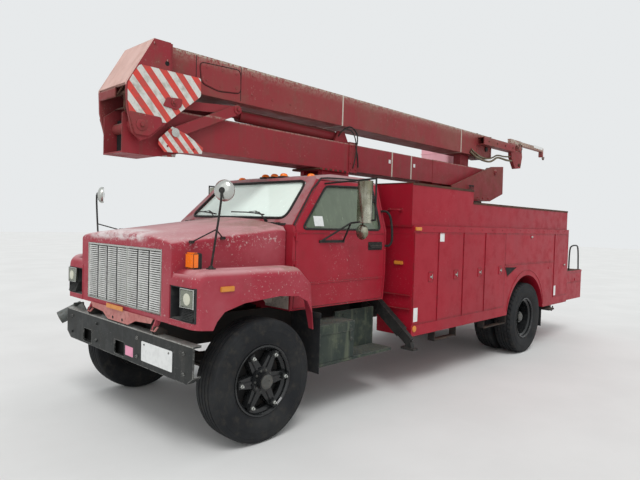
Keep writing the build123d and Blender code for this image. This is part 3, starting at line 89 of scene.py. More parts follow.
class Shade:
    """One material's node tree, with short names for the nodes that the looks use."""

    def __init__(self, name):
        self.material = bpy.data.materials.new(name)
        self.material.use_nodes = True
        self.tree = self.material.node_tree
        self.tree.nodes.clear()
        out = self.tree.nodes.new("ShaderNodeOutputMaterial")
        self.bsdf = self.tree.nodes.new("ShaderNodeBsdfPrincipled")
        self.tree.links.new(self.bsdf.outputs[0], out.inputs[0])
        coord = self.tree.nodes.new("ShaderNodeTexCoord")
        self.place, self.normal = coord.outputs["Object"], coord.outputs["Normal"]

    def node(self, kind, inputs, **props):
        made = self.tree.nodes.new("ShaderNode" + kind)
        for key, value in props.items():
            setattr(made, key, value)
        for key, value in inputs.items():
            self.feed(made.inputs[key], value)
        return made

    def feed(self, socket, value):
        if isinstance(value, bpy.types.NodeSocket):
            self.tree.links.new(value, socket)
        else:
            socket.default_value = (*value, 1.0) if socket.type == "RGBA" and len(value) == 3 else value

    def set(self, **values):
        for key, value in values.items():
            self.feed(self.bsdf.inputs[key.replace("_", " ")], value)

    def noise(self, scale, detail=4.0, roughness=0.55, stretch=None):
        place = self.place
        if stretch:
            place = self.node("Mapping", {"Vector": place, "Scale": stretch}).outputs[0]
        inputs = {"Vector": place, "Scale": scale, "Detail": detail, "Roughness": roughness}
        return self.node("TexNoise", inputs).outputs["Fac"]

    def span(self, value, low, high, to_low=0.0, to_high=1.0):
        """Smooth step of a value from low to high."""
        inputs = {"Value": value, "From Min": low, "From Max": high, "To Min": to_low, "To Max": to_high}
        return self.node("MapRange", inputs, interpolation_type="SMOOTHSTEP").outputs[0]

    def cloud(self, scale, detail, roughness, low, high, to_low=0.0, to_high=1.0, stretch=None):
        """Noise with its contrast raised to a span."""
        return self.span(self.noise(scale, detail, roughness, stretch), low, high, to_low, to_high)

    def math(self, operation, a, b=0.0):
        return self.node("Math", {0: a, 1: b}, operation=operation).outputs[0]

    def times(self, first, *others):
        for other in others:
            first = self.math("MULTIPLY", first, other)
        return first

    def mix(self, factor, a, b):
        return self.node("Mix", {0: factor, 6: a, 7: b}, data_type="RGBA").outputs[2]

    def axis(self, name, source=None):
        return self.node("SeparateXYZ", {0: source or self.place}).outputs[name]

    def bump(self, height, strength, distance):
        inputs = {"Height": height, "Strength": strength, "Distance": distance}
        self.set(Normal=self.node("Bump", inputs).outputs[0])

    def edges(self, radius, low=0.03, high=0.3):
        """1 near the sharp edges of a solid, 0 on its flats."""
        rounded = self.node("Bevel", {"Radius": radius}, samples=4).outputs[0]
        true = self.node("NewGeometry", {}).outputs["True Normal"]
        dot = self.node("VectorMath", {0: rounded, 1: true}, operation="DOT_PRODUCT").outputs["Value"]
        return self.span(self.math("SUBTRACT", 1.0, dot), low, high)


def weathered(name, base, patch, grime, rough=0.45, metal=0.0, dirty=0.4, streak=0.0, chipped=0.0,
              chip=(0.62, 0.56, 0.53), top=None, dusty=0.7, edge=None, bump=0.15, scale=1.0, coat=0.0,
              specular=0.18, extra=None):
    """A painted or cast surface with faded patches, grime, run marks, chips, dirty tops and worn edges."""
    s = Shade(name)
    colour = s.mix(s.cloud(1.3 * scale, 6.0, 0.6, 0.36, 0.68), base, patch)
    medium = s.noise(7.0 * scale, 8.0, 0.65)
    colour = s.mix(s.times(s.span(medium, 0.47, 0.72), dirty), colour, grime)
    if streak:
        runs = s.cloud(1.0, 5.0, 0.6, 0.5, 0.72, stretch=(16 * scale, 16 * scale, 0.9 * scale))
        colour = s.mix(s.times(runs, streak), colour, grime)
    height = s.noise(180.0, 2.0, 0.5)
    dull = s.span(medium, 0.35, 0.75, rough, min(1.0, rough + 0.25))
    if extra:
        colour = extra(s, colour)
    if chipped:
        field = s.cloud(2.4 * scale, 3.0, 0.5, 0.4, 0.6)
        chips = s.times(s.cloud(46.0 * scale, 4.0, 0.75, 0.61, 0.66), field, chipped)
        colour = s.mix(chips, colour, chip)
        height = s.math("SUBTRACT", height, chips)
    if top:
        up = s.span(s.axis("Z", s.normal), 0.45, 0.85)
        dirt = s.times(up, s.cloud(4.5 * scale, 8.0, 0.7, 0.28, 0.62), dusty)
        colour = s.mix(dirt, colour, top)
        dull = s.math("MAXIMUM", dull, s.times(dirt, 0.9))
    if edge:
        colour = s.mix(s.times(s.edges(0.012), s.cloud(14.0 * scale, 6.0, 0.7, 0.38, 0.6)), colour, edge)
    s.set(Base_Color=colour, Roughness=dull, Metallic=metal, Coat_Weight=coat, Specular_IOR_Level=specular)
    s.bump(height, bump, 0.002)
    return s.material


def glass(name, tint_and_reflection, dirt, dirt_amount, clear):
    """Clear glass under a film of dirt; a pale colour with little transmission paints a reflection on it."""
    s = Shade(name)
    film = s.times(s.cloud(6.0, 6.0, 0.65, 0.42, 0.75, stretch=(3, 3, 0.8)), dirt_amount)
    s.set(Base_Color=s.mix(film, tint_and_reflection, dirt), Roughness=s.span(film, 0.0, 0.6, 0.03, 0.5), IOR=1.45,
          Transmission_Weight=s.math("SUBTRACT", clear, s.times(film, clear)))
    return s.material


def shiny(name, colour, rough=0.25, metal=0.0, **more):
    """A smooth, faintly mottled surface, such as a lens or polished steel."""
    s = Shade(name)
    mottle = s.cloud(20.0, 5.0, 0.55, 0.4, 0.7)
    s.set(Base_Color=s.mix(s.times(mottle, 0.25), colour, tuple(c * 0.6 for c in colour)),
          Roughness=s.span(mottle, 0.0, 1.0, rough, rough + 0.2), Metallic=metal, **more)
    return s.material


def striped(name, pitch, slope, start, rough=0.45):
    """Red bars on white sheeting, leaning back as they rise, with grime over both."""
    s = Shade(name)
    along = s.math("SUBTRACT", s.math("ADD", s.axis("X"), s.times(s.axis("Z"), slope)), start)
    wobble = s.times(s.noise(60.0, 2.0), 0.002)
    phase = s.math("FRACT", s.math("DIVIDE", s.math("ADD", along, wobble), pitch))
    red = s.mix(s.cloud(12.0, 6.0, 0.55, 0.4, 0.7), (0.62, 0.045, 0.03), (0.42, 0.06, 0.05))
    white = s.mix(s.cloud(16.0, 6.0, 0.55, 0.45, 0.75), (0.62, 0.62, 0.58), (0.4, 0.39, 0.34))
    colour = s.mix(s.span(phase, 0.49, 0.51), red, white)
    dirt = s.times(s.cloud(30.0, 8.0, 0.75, 0.55, 0.7), 0.55)
    s.set(Base_Color=s.mix(dirt, colour, (0.12, 0.07, 0.05)), Roughness=rough)
    s.bump(s.noise(150.0), 0.1, 0.001)
    return s.material


def hood_fade_and_highlight(s, colour):
    """Pale pink on the upward faces, part sun fade and part painted highlight, brown grime toward the cab,
    white primer through the front lip.
    """
    x, z = s.axis("X"), s.axis("Z")
    up = s.span(s.axis("Z", s.normal), 0.35, 0.9)
    # The pale pink on upward faces is part sun fade and part a painted highlight.
    colour = s.mix(s.times(up, s.cloud(3.5, 8.0, 0.65, 0.3, 0.62, 0.55, 1.0)), colour, (0.52, 0.27, 0.28))
    rear = s.times(s.span(x, 3.75, 3.25), s.cloud(5.0, 8.0, 0.7, 0.38, 0.6))
    colour = s.mix(s.times(up, rear, 0.75), colour, (0.27, 0.15, 0.12))
    middle = s.span(s.math("ABSOLUTE", s.math("ADD", s.axis("Y"), 0.12)), 0.62, 0.42)
    lip = s.times(s.span(x, 3.98, 4.15), s.span(z, 1.655, 1.7), middle)
    lip = s.times(lip, s.cloud(7.0, 8.0, 0.75, 0.34, 0.56, stretch=(1, 1, 2)))
    colour = s.mix(lip, colour, (0.66, 0.56, 0.56))
    crease = s.times(s.span(z, 1.6, 1.68), s.span(z, 1.8, 1.72))
    peel = s.times(crease, s.cloud(30.0, 6.0, 0.8, 0.56, 0.62), 0.6)
    return s.mix(peel, colour, (0.66, 0.58, 0.56))


def lichen_top(s, colour):
    """Grey lichen along the upper edges of both booms."""
    z = s.axis("Z")
    upper = s.math("MAXIMUM", s.span(z, 3.385, 3.418), s.span(z, 3.3, 3.44, 0.0, 0.45))
    lower = s.times(s.span(z, 2.838, 2.857), s.span(z, 2.87, 2.862), 0.5)
    band = s.math("MAXIMUM", upper, lower)
    return s.mix(s.times(band, s.cloud(42.0, 8.0, 0.8, 0.4, 0.58), 0.9), colour, (0.48, 0.46, 0.37))


def elbow_front(s, colour):
    """The sheet over the elbow's front is bleached to a dusty pink."""
    ahead = s.times(s.span(s.axis("X", s.normal), 0.25, 0.5), s.span(s.axis("Z"), 2.975, 2.995))
    stain = s.cloud(5.0, 7.0, 0.6, 0.35, 0.75, 0.0, 0.55, stretch=(2, 2, 0.6))
    return s.mix(ahead, colour, s.mix(stain, (0.64, 0.42, 0.37), (0.42, 0.24, 0.2)))


RUST = (0.085, 0.035, 0.022)
MUD = (0.2, 0.16, 0.12)
BOOM_CHIP = (0.4, 0.36, 0.3)
cab_red = weathered(
    "cab_red", (0.315, 0.012, 0.026), (0.33, 0.03, 0.045), (0.2, 0.035, 0.038), 0.34, dirty=0.28,
    streak=0.08, chipped=0.3, top=(0.38, 0.31, 0.31), dusty=0.85, edge=(0.16, 0.04, 0.04))
hood_red = weathered(
    "hood_red", (0.325, 0.03, 0.048), (0.37, 0.075, 0.095), (0.22, 0.05, 0.05), 0.38, dirty=0.3, streak=0.06,
    chipped=0.45, extra=hood_fade_and_highlight)
body_red = weathered(
    "body_red", (0.33, 0.008, 0.022), (0.285, 0.01, 0.022), (0.17, 0.018, 0.022), 0.3, dirty=0.16,
    streak=0.14, chipped=0.1, top=(0.1, 0.04, 0.03), dusty=0.9, edge=(0.11, 0.03, 0.028))
upper_red = weathered(
    "upper_red", (0.255, 0.035, 0.04), (0.235, 0.065, 0.056), (0.18, 0.085, 0.065), 0.5, dirty=0.45,
    streak=0.3, chipped=0.45, chip=BOOM_CHIP, top=(0.22, 0.18, 0.13), dusty=0.85, edge=RUST,
    extra=lichen_top)
boom_red = weathered(
    "boom_red", (0.27, 0.022, 0.032), (0.235, 0.035, 0.04), (0.17, 0.055, 0.045), 0.42, dirty=0.38,
    streak=0.3, chipped=0.25, chip=BOOM_CHIP, top=MUD, dusty=0.85, edge=RUST, extra=lichen_top)
turret_red = weathered(
    "turret_red", (0.225, 0.03, 0.034), (0.19, 0.045, 0.038), (0.14, 0.06, 0.042), 0.5, dirty=0.55,
    streak=0.35, chipped=0.35, chip=(0.35, 0.3, 0.25), top=(0.16, 0.12, 0.09), dusty=0.85, edge=RUST)
elbow_paint = weathered(
    "elbow_paint", (0.265, 0.026, 0.036), (0.235, 0.045, 0.046), (0.17, 0.07, 0.052), dirty=0.5, streak=0.3,
    chipped=0.35, chip=(0.42, 0.4, 0.33), top=(0.26, 0.18, 0.15), dusty=0.8, edge=RUST, extra=elbow_front)
# The bucket's pink is set above its own colour to paint the sunlight on it, since the boom shades it in this
# scene.
bucket_pink = weathered(
    "bucket_pink", (0.88, 0.45, 0.51), (0.88, 0.54, 0.58), (0.5, 0.28, 0.27), dirty=0.2, streak=0.22,
    top=(0.55, 0.42, 0.4), dusty=0.5)
frame_black = weathered(
    "frame_black", (0.02, 0.02, 0.02), (0.036, 0.033, 0.031), (0.07, 0.052, 0.04), 0.6, dirty=0.55, top=MUD,
    dusty=0.4, edge=(0.09, 0.05, 0.035))
bumper_black = weathered(
    "bumper_black", (0.015, 0.017, 0.017), (0.026, 0.028, 0.027), (0.062, 0.06, 0.055), 0.38, dirty=0.45,
    streak=0.4, chipped=0.25, chip=(0.3, 0.3, 0.28), edge=(0.36, 0.36, 0.34))
wheel_black = weathered(
    "wheel_black", (0.01, 0.011, 0.012), (0.016, 0.017, 0.018), (0.05, 0.045, 0.04), 0.18, dirty=0.2,
    coat=0.5, scale=3.0)
grille_silver = weathered(
    "grille_silver", (0.78, 0.78, 0.76), (0.62, 0.62, 0.6), (0.28, 0.26, 0.23), 0.3, 0.25, dirty=0.45,
    specular=0.5, scale=2.5)
trim_black = weathered(
    "trim_black", (0.014, 0.014, 0.014), (0.024, 0.024, 0.023), (0.07, 0.06, 0.055), dirty=0.3, scale=3.0,
    edge=(0.1, 0.08, 0.07))
lamp_black = weathered(
    "lamp_black", (0.02, 0.021, 0.022), (0.036, 0.037, 0.038), (0.1, 0.1, 0.09), 0.5, dirty=0.35, scale=3.0,
    top=(0.16, 0.16, 0.15))
seat_grey = weathered(
    "seat_grey", (0.055, 0.052, 0.05), (0.08, 0.075, 0.07), (0.13, 0.12, 0.1), 0.7, dirty=0.3, scale=3.0,
    bump=0.4)
step_grey = weathered(
    "step_grey", (0.026, 0.036, 0.032), (0.044, 0.054, 0.044), (0.11, 0.125, 0.085), 0.55, dirty=0.65,
    streak=0.65, chipped=0.3, chip=(0.24, 0.25, 0.21), top=(0.085, 0.09, 0.075), edge=(0.13, 0.13, 0.12))
iron = weathered(
    "iron", (0.04, 0.036, 0.034), (0.065, 0.056, 0.05), (0.09, 0.06, 0.042), 0.65, 0.3, dirty=0.6, scale=2.0)
chrome = weathered(
    "chrome", (0.62, 0.62, 0.61), (0.5, 0.5, 0.49), (0.25, 0.2, 0.15), 0.15, 0.9, dirty=0.3, specular=0.5,
    scale=4.0)
rubber = weathered(
    "rubber", (0.013, 0.014, 0.016), (0.024, 0.025, 0.026), (0.065, 0.058, 0.048), 0.72, scale=2.0, bump=0.3)
mirror_shell = weathered(
    "mirror_shell", (0.5, 0.5, 0.42), (0.2, 0.19, 0.13), (0.09, 0.09, 0.05), 0.14, 0.85, dirty=0.3,
    streak=0.7, specular=0.5, scale=2.2)
rust_brown = weathered(
    "rust_brown", (0.075, 0.038, 0.028), (0.12, 0.055, 0.035), (0.05, 0.03, 0.025), 0.75, dirty=0.6,
    scale=3.0, bump=0.5)
primer_beige = weathered(
    "primer_beige", (0.46, 0.4, 0.35), (0.52, 0.46, 0.41), (0.16, 0.12, 0.1), 0.7, dirty=0.6, scale=4.0,
    chipped=0.5, chip=(0.1, 0.05, 0.03))
faded_strip = weathered(
    "faded_strip", (0.42, 0.14, 0.13), (0.5, 0.22, 0.2), (0.2, 0.09, 0.07), 0.55, dirty=0.6, scale=3.0)
bare_steel = weathered(
    "bare_steel", (0.42, 0.42, 0.4), (0.32, 0.31, 0.29), (0.13, 0.1, 0.08), 0.4, 0.7, dirty=0.8, scale=5.0)
hose_black = weathered(
    "hose_black", (0.02, 0.02, 0.02), (0.035, 0.033, 0.03), (0.1, 0.085, 0.06), 0.6, dirty=0.6, scale=5.0)
hose_tan = weathered(
    "hose_tan", (0.16, 0.13, 0.085), (0.22, 0.19, 0.13), (0.07, 0.055, 0.04), 0.75, dirty=0.6, scale=4.0,
    bump=0.4)
tread_metal = weathered(
    "tread_metal", (0.085, 0.095, 0.088), (0.13, 0.14, 0.125), (0.2, 0.19, 0.13), 0.5, 0.5, dirty=0.8,
    scale=3.0)
pale_steel = weathered(
    "pale_steel", (0.15, 0.16, 0.155), (0.11, 0.12, 0.115), (0.08, 0.06, 0.045), 0.5, 0.2, dirty=0.7,
    scale=5.0)
hub_grime = weathered(
    "hub_grime", (0.05, 0.052, 0.05), (0.075, 0.075, 0.07), (0.13, 0.11, 0.08), 0.35, dirty=0.5, coat=0.3,
    scale=5.0)
window = glass("window", (0.2, 0.25, 0.18), (0.18, 0.22, 0.15), 0.35, 0.45)
# The windshield's pale colour and low transmission paint the sky's reflection on the glass.
windshield = glass("windshield", (0.86, 1.0, 0.92), (0.86, 1.0, 0.92), 0.35, 0.07)
amber = shiny("amber", (0.8, 0.17, 0.012), 0.15, Emission_Color=(1.0, 0.2, 0.01, 1.0),
              Emission_Strength=0.12)
dull_amber = shiny("dull_amber", (0.62, 0.23, 0.03), 0.35)
red_lens = shiny("red_lens", (0.45, 0.015, 0.012), 0.15)
clear_lens = shiny("clear_lens", (0.27, 0.29, 0.23), 0.12, Transmission_Weight=0.35, IOR=1.4)
lamp_glow = shiny("lamp_glow", (0.62, 0.62, 0.5), 0.15, 0.3)
mirror_glass = shiny("mirror_glass", (0.8, 0.82, 0.8), 0.04, 1.0)
stainless = shiny("stainless", (0.52, 0.53, 0.5), 0.22, 0.9)
blank_white = shiny("blank_white", (0.72, 0.73, 0.72), 0.4)
blank_pink = shiny("blank_pink", (0.75, 0.28, 0.42), 0.4)
white_band = shiny("white_band", (0.52, 0.47, 0.4), 0.6)
# Near-black for seams, and painted shade in holes, slots, a recess, the boom tip and behind the grille bars.
seam_and_shade_black = shiny("seam_and_shade_black", (0.006, 0.006, 0.006), 0.9)
stripes_big = striped("stripes_big", 0.162, -0.9, 4.19)
stripes_small = striped("stripes_small", 0.116, -0.95, 3.905)

# Slot that each look stands in, unless a piece names another; a look that isn't here has its own name's slot
SLOTS = {look.name.partition(".")[0]: slot for slot, looks in {
    "lamp_dark": (amber, dull_amber, red_lens, clear_lens, lamp_glow, lamp_black, seam_and_shade_black),
    "clear_glass": (mirror_glass, blank_white, blank_pink),
    "boom_red": (upper_red, elbow_paint, stripes_big, stripes_small, white_band, rust_brown),
    "bumper_black": (bare_steel, pale_steel), "cab_red": (primer_beige, faded_strip),
    "tyre_rubber": (rubber, hose_black), "fibreglass_red": (hood_red,), "grille_silver": (stainless,),
    "rod_chrome": (mirror_shell,), "step_grey": (tread_metal,), "wheel_black": (hub_grime,),
}.items() for look in looks}

# Look of each CAD node, by the start of its name
LOOKS = {
    "frame": frame_black, "axles": frame_black, "engine_block": iron, "front_bumper": bumper_black,
    "cab_shell": cab_red, "cab_glass": windshield, "cab_interior": seat_grey, "steps": step_grey,
    "body_side": body_red, "deck": body_red, "outrigger_frame": trim_black, "outrigger_leg": trim_black,
    "hood": hood_red, "grille": grille_silver, "headlamps": lamp_black, "hood_mirrors": trim_black,
    "cab_door": cab_red, "door_glass": window, "door_mirror": trim_black, "door_tall": body_red,
    "door_wheel": body_red, "door_rear": body_red, "knuckle": frame_black, "tyre": rubber,
    "wheel": wheel_black, "turret": turret_red, "lower_boom": boom_red, "upper_boom": upper_red,
    "elbow_head": elbow_paint, "lift_cylinder_barrel": boom_red, "elbow_cylinder_barrel": boom_red,
    "lift_cylinder_rod": chrome, "elbow_cylinder_rod": boom_red, "link": boom_red,
    "level_shaft": frame_black, "bucket": bucket_pink,
}


def paint_nodes():
    """Gives each CAD node the look whose key is the longest start of its name."""
    for name, obj in nodes.items():
        look = LOOKS[max((key for key in LOOKS if name.startswith(key)), key=len)]
        obj.data.materials.clear()
        obj.data.materials.append(look)


class Piece:
    """Collects the parts of one mesh, drawn on one side or the other, that rides on a body."""

    drawn = []
    side = 1

    def __init__(self, name, look, body="chassis", slot=None, smooth=35.0):
        self.name, self.body, self.look, self.smooth = name, body, look, smooth
        plain = look.name.partition(".")[0]
        self.slot = slot or SLOTS.get(plain, plain)
        self.bm = bmesh.new()
        Piece.drawn.append(self)

    def spot(self, point):
        """A place given for the left, on the side being drawn."""
        return Vector((point[0], point[1] * Piece.side, point[2]))

    def take(self, other):
        mesh = bpy.data.meshes.new("part")
        other.to_mesh(mesh)
        other.free()
        self.bm.from_mesh(mesh)
        bpy.data.meshes.remove(mesh)

    def box(self, lo, hi, chamfer=0.003, turn=None):
        """A chamfered box between two corners, turned about its middle if asked."""
        one, two = self.spot(lo), self.spot(hi)
        lo, hi = Vector(map(min, one, two)), Vector(map(max, one, two))
        part = bmesh.new()
        bmesh.ops.create_cube(part, size=1.0)
        bmesh.ops.scale(part, vec=hi - lo, verts=part.verts)
        if chamfer:
            bmesh.ops.bevel(part, geom=part.edges[:], offset=chamfer, segments=2, affect="EDGES")
        if turn:
            bmesh.ops.transform(part, matrix=turn.to_4x4(), verts=part.verts)
        bmesh.ops.translate(part, vec=(lo + hi) / 2, verts=part.verts)
        self.take(part)

    def prism(self, outline, axis, lo, hi, chamfer=0.002):
        """A plate with a polygon outline, across one axis between two stations."""
        def at(point, depth):
            return self.spot({"x": (depth, *point), "y": (point[0], depth, point[1]),
                              "z": (*point, depth)}[axis])

        part = bmesh.new()
        low = [part.verts.new(at(p, lo)) for p in outline]
        high = [part.verts.new(at(p, hi)) for p in outline]
        part.faces.new(low)
        part.faces.new(high)
        for i in range(len(outline)):
            after = (i + 1) % len(outline)
            part.faces.new((low[i], low[after], high[after], high[i]))
        bmesh.ops.recalc_face_normals(part, faces=part.faces)
        if chamfer:
            depth = "xyz".index(axis)
            rim = [e for e in part.edges if abs(e.verts[0].co[depth] - e.verts[1].co[depth]) < 1e-6]
            bmesh.ops.bevel(part, geom=rim, offset=chamfer, segments=1, affect="EDGES")
        self.take(part)

    def lathe(self, profile, centre, axis, segments=24, stretch=None):
        """Turns (along, radius) points about an axis, and stretches the result about the centre."""
        centre, axis = self.spot(centre), self.spot(axis).normalized()
        side = axis.orthogonal().normalized()
        over = axis.cross(side)
        part = bmesh.new()
        rings = []
        for along, radius in profile:
            count = segments if radius > 1e-6 else 1
            angles = [math.tau * k / segments for k in range(count)]
            rings.append([part.verts.new(centre + axis * along + radius *
                                         (side * math.cos(a) + over * math.sin(a))) for a in angles])
        for one, two in zip(rings, rings[1:]):
            for k in range(segments):
                after = (k + 1) % segments
                ring = [one[k % len(one)], one[after % len(one)], two[after % len(two)], two[k % len(two)]]
                corners = list(dict.fromkeys(ring))
                if len(corners) > 2:
                    part.faces.new(corners)
        if stretch:
            bmesh.ops.scale(part, vec=stretch, space=Matrix.Translation(-centre), verts=part.verts)
        bmesh.ops.recalc_face_normals(part, faces=part.faces)
        self.take(part)

    def tube(self, points, radius, segments=8, closed=False, soften=0):
        """A round tube along points; soften rounds the corners by cutting them that many times."""
        path = [self.spot(p) for p in points]
        for _ in range(soften):
            cut = [] if closed else [path[0]]
            last = len(path) if closed else len(path) - 1
            for i in range(last):
                a, b = path[i], path[(i + 1) % len(path)]
                cut += [a.lerp(b, 0.25), a.lerp(b, 0.75)]
            path = cut + ([] if closed else [path[-1]])
        part = bmesh.new()
        rings = []
        side = None
        count = len(path)
        for i, p in enumerate(path):
            before = path[i - 1] if i or closed else p
            after = path[(i + 1) % count] if i < count - 1 or closed else p
            run = (after - before).normalized()
            side = (side - run * side.dot(run)).normalized() if side else run.orthogonal().normalized()
            over = run.cross(side)
            rings.append([part.verts.new(p + radius * (side * math.cos(a) + over * math.sin(a)))
                          for a in (math.tau * k / segments for k in range(segments))])
        pairs = list(zip(rings, rings[1:])) + ([(rings[-1], rings[0])] if closed else [])
        for one, two in pairs:
            shift = min(range(segments),
                        key=lambda n: (one[0].co - two[n].co).length) if two is rings[0] else 0
            for k in range(segments):
                part.faces.new((one[k], one[(k + 1) % segments], two[(k + 1 + shift) % segments],
                                two[(k + shift) % segments]))
        if not closed:
            part.faces.new(rings[0][::-1])
            part.faces.new(rings[-1])
        bmesh.ops.recalc_face_normals(part, faces=part.faces)
        self.take(part)

    def plug(self, at, axis, radius, height, segments=24, top=None):
        """A plain cylinder standing on a face, narrower at its top if asked."""
        self.lathe([(0, 0), (0, radius), (height, top or radius), (height, 0)], at, axis, segments)

    def disc(self, at, axis, radius, thick, segments=24):
        """A low round boss with a softened rim, standing on a face."""
        profile = [(-0.002, 0), (-0.002, radius), (thick * 0.6, radius), (thick, radius * 0.9), (thick, 0)]
        self.lathe(profile, at, axis, segments)

    def bolt(self, at, axis, size=0.012):
        """A washer and a hexagon head, sunk slightly in what it holds."""
        self.lathe([(-0.002, 0), (-0.002, size * 1.15), (size * 0.25, size * 1.15), (size * 0.25, 0)], at,
                   axis, 16)
        self.lathe([(0, 0), (0, size), (size * 0.8, size), (size * 0.95, size * 0.8), (size * 0.95, 0)], at,
                   axis, 6)

    def done(self):
        Piece.drawn.remove(self)
        mesh = bpy.data.meshes.new(self.name)
        self.bm.to_mesh(mesh)
        self.bm.free()
        mesh.materials.append(self.look)
        mesh.polygons.foreach_set("use_smooth", [True] * len(mesh.polygons))
        mesh.set_sharp_from_angle(angle=math.radians(self.smooth))
        obj = bpy.data.objects.new(self.name, mesh)
        bpy.context.scene.collection.objects.link(obj)
        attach(obj, self.body)
        return obj


def both_sides():
    """Names the sides in turn, and has pieces drawn on that side from sizes given for the left."""
    for name, Piece.side in SIDES:
        yield name
    Piece.side = 1


def quad(x0, x1, z0, z1):
    """A rectangle's outline."""
    return [(x0, z0), (x1, z0), (x1, z1), (x0, z1)]


def rounded(points, radius, cuts=4):
    """An outline with each corner rounded by a short curve."""
    out = []
    count = len(points)
    for i, corner in enumerate(points):
        corner = Vector(corner)
        before, after = Vector(points[i - 1]), Vector(points[(i + 1) % count])
        start = corner + (before - corner).normalized() * min(radius, (before - corner).length * 0.45)
        end = corner + (after - corner).normalized() * min(radius, (after - corner).length * 0.45)
        for k in range(cuts + 1):
            t = k / cuts
            out.append(tuple(start * (1 - t) ** 2 + corner * 2 * t * (1 - t) + end * t ** 2))
    return out


def around(count, x, z, radius, start=0.0, step=None):
    """Places on a circle in a plane."""
    step = math.tau / count if step is None else step
    return [(x + radius * math.cos(start + step * k),
             z + radius * math.sin(start + step * k)) for k in range(count)]


def tread_depth(y, angle, lugs):
    """How far the tread lies below the tyre's crown at a place across and round it."""
    across = abs(y)
    if across > 0.116:
        return 0.0
    if not lugs:
        return 0.011 if any(abs(across - g) < 0.0055 for g in (0.02, 0.062)) else 0.0
    turn = (angle * 44 / math.tau + across * 9.0 * (1 if y > 0 else -1)) % 1.0
    if any(abs(across - g) < 0.006 for g in (0.018, 0.07)):
        return 0.014
    return 0.014 if turn < 0.2 and across > 0.018 else 0.0


def tyre_mesh(piece, x, y_mid, lugs):
    """A tyre turned about its axle, with ribs or lugs cut into the crown and rings on the sidewalls."""
    walls = [(0.086, 0.29), (0.104, 0.29), (0.1045, 0.3), (0.11, 0.306), (0.117, 0.315), (0.1155, 0.318),
             (0.124, 0.335), (0.131, 0.352), (0.1365, 0.372), (0.1395, 0.392), (0.14, 0.402), (0.1392, 0.42),
             (0.1402, 0.424), (0.1385, 0.428), (0.136, 0.448), (0.1325, 0.468), (0.1325, 0.478),
             (0.129, 0.482), (0.1285, 0.492), (0.125, 0.505), (0.119, 0.5145)]
    grooves = (0.076, 0.064, 0.024, 0.012) if lugs else (0.076, 0.0675, 0.0645, 0.0565, 0.0255, 0.0145)
    crown = [0.11, 0.1, 0.088] + [g + d for g in grooves for d in (0.0005, -0.0005)] + [0.0]
    profile = walls + [(c, TYRE_R - 0.0065 * (c / 0.116) ** 2 - 0.0035 * (c > 0.105)) for c in crown]
    profile += [(-a, r) for a, r in profile[-2::-1]]
    segments = 220 if lugs else 96
    part = bmesh.new()
    rings = []
    for k in range(segments):
        a = math.tau * k / segments
        ring = []
        for across, radius in profile:
            r = radius - (tread_depth(across, a, lugs) if radius > 0.512 else 0.0)
            ring.append(part.verts.new((x + r * math.cos(a), y_mid + across, TYRE_R + r * math.sin(a))))
        rings.append(ring)
    count = len(profile)
    for k in range(segments):
        one, two = rings[k], rings[(k + 1) % segments]
        for i in range(count):
            after = (i + 1) % count
            part.faces.new((one[i], one[after], two[after], two[i]))
    bmesh.ops.recalc_face_normals(part, faces=part.faces)
    piece.take(part)


def tyres():
    """Tyres with tread, which stand for the CAD model's plain ones."""
    for name, side in SIDES:
        front = Piece("tread_front_" + name, rubber, "front_wheel_" + name, smooth=30)
        tyre_mesh(front, FRONT_AXLE_X, side * FRONT_Y, False)
        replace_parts(front.done(), "tyre_front_" + name)
        rear = Piece("tread_rear_" + name, rubber, "rear_wheels_" + name, smooth=30)
        for y in REAR_YS:
            tyre_mesh(rear, REAR_AXLE_X, side * y, True)
        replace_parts(rear.done(), "tyres_rear_" + name)


def skin_y(z):
    """Half width of the cab at a height."""
    return CAB_HALF - max(0.0, z - CAB_BELT) * (CAB_HALF - CAB_TOP_HALF) / (CAB_SHOULDER - CAB_BELT)


def shield_x(z):
    """Station of the windshield's plane at a height."""
    (x0, z0), (x1, z1) = SHIELD_FOOT, SHIELD_HEAD
    return x0 + (z - z0) * (x1 - x0) / (z1 - z0)


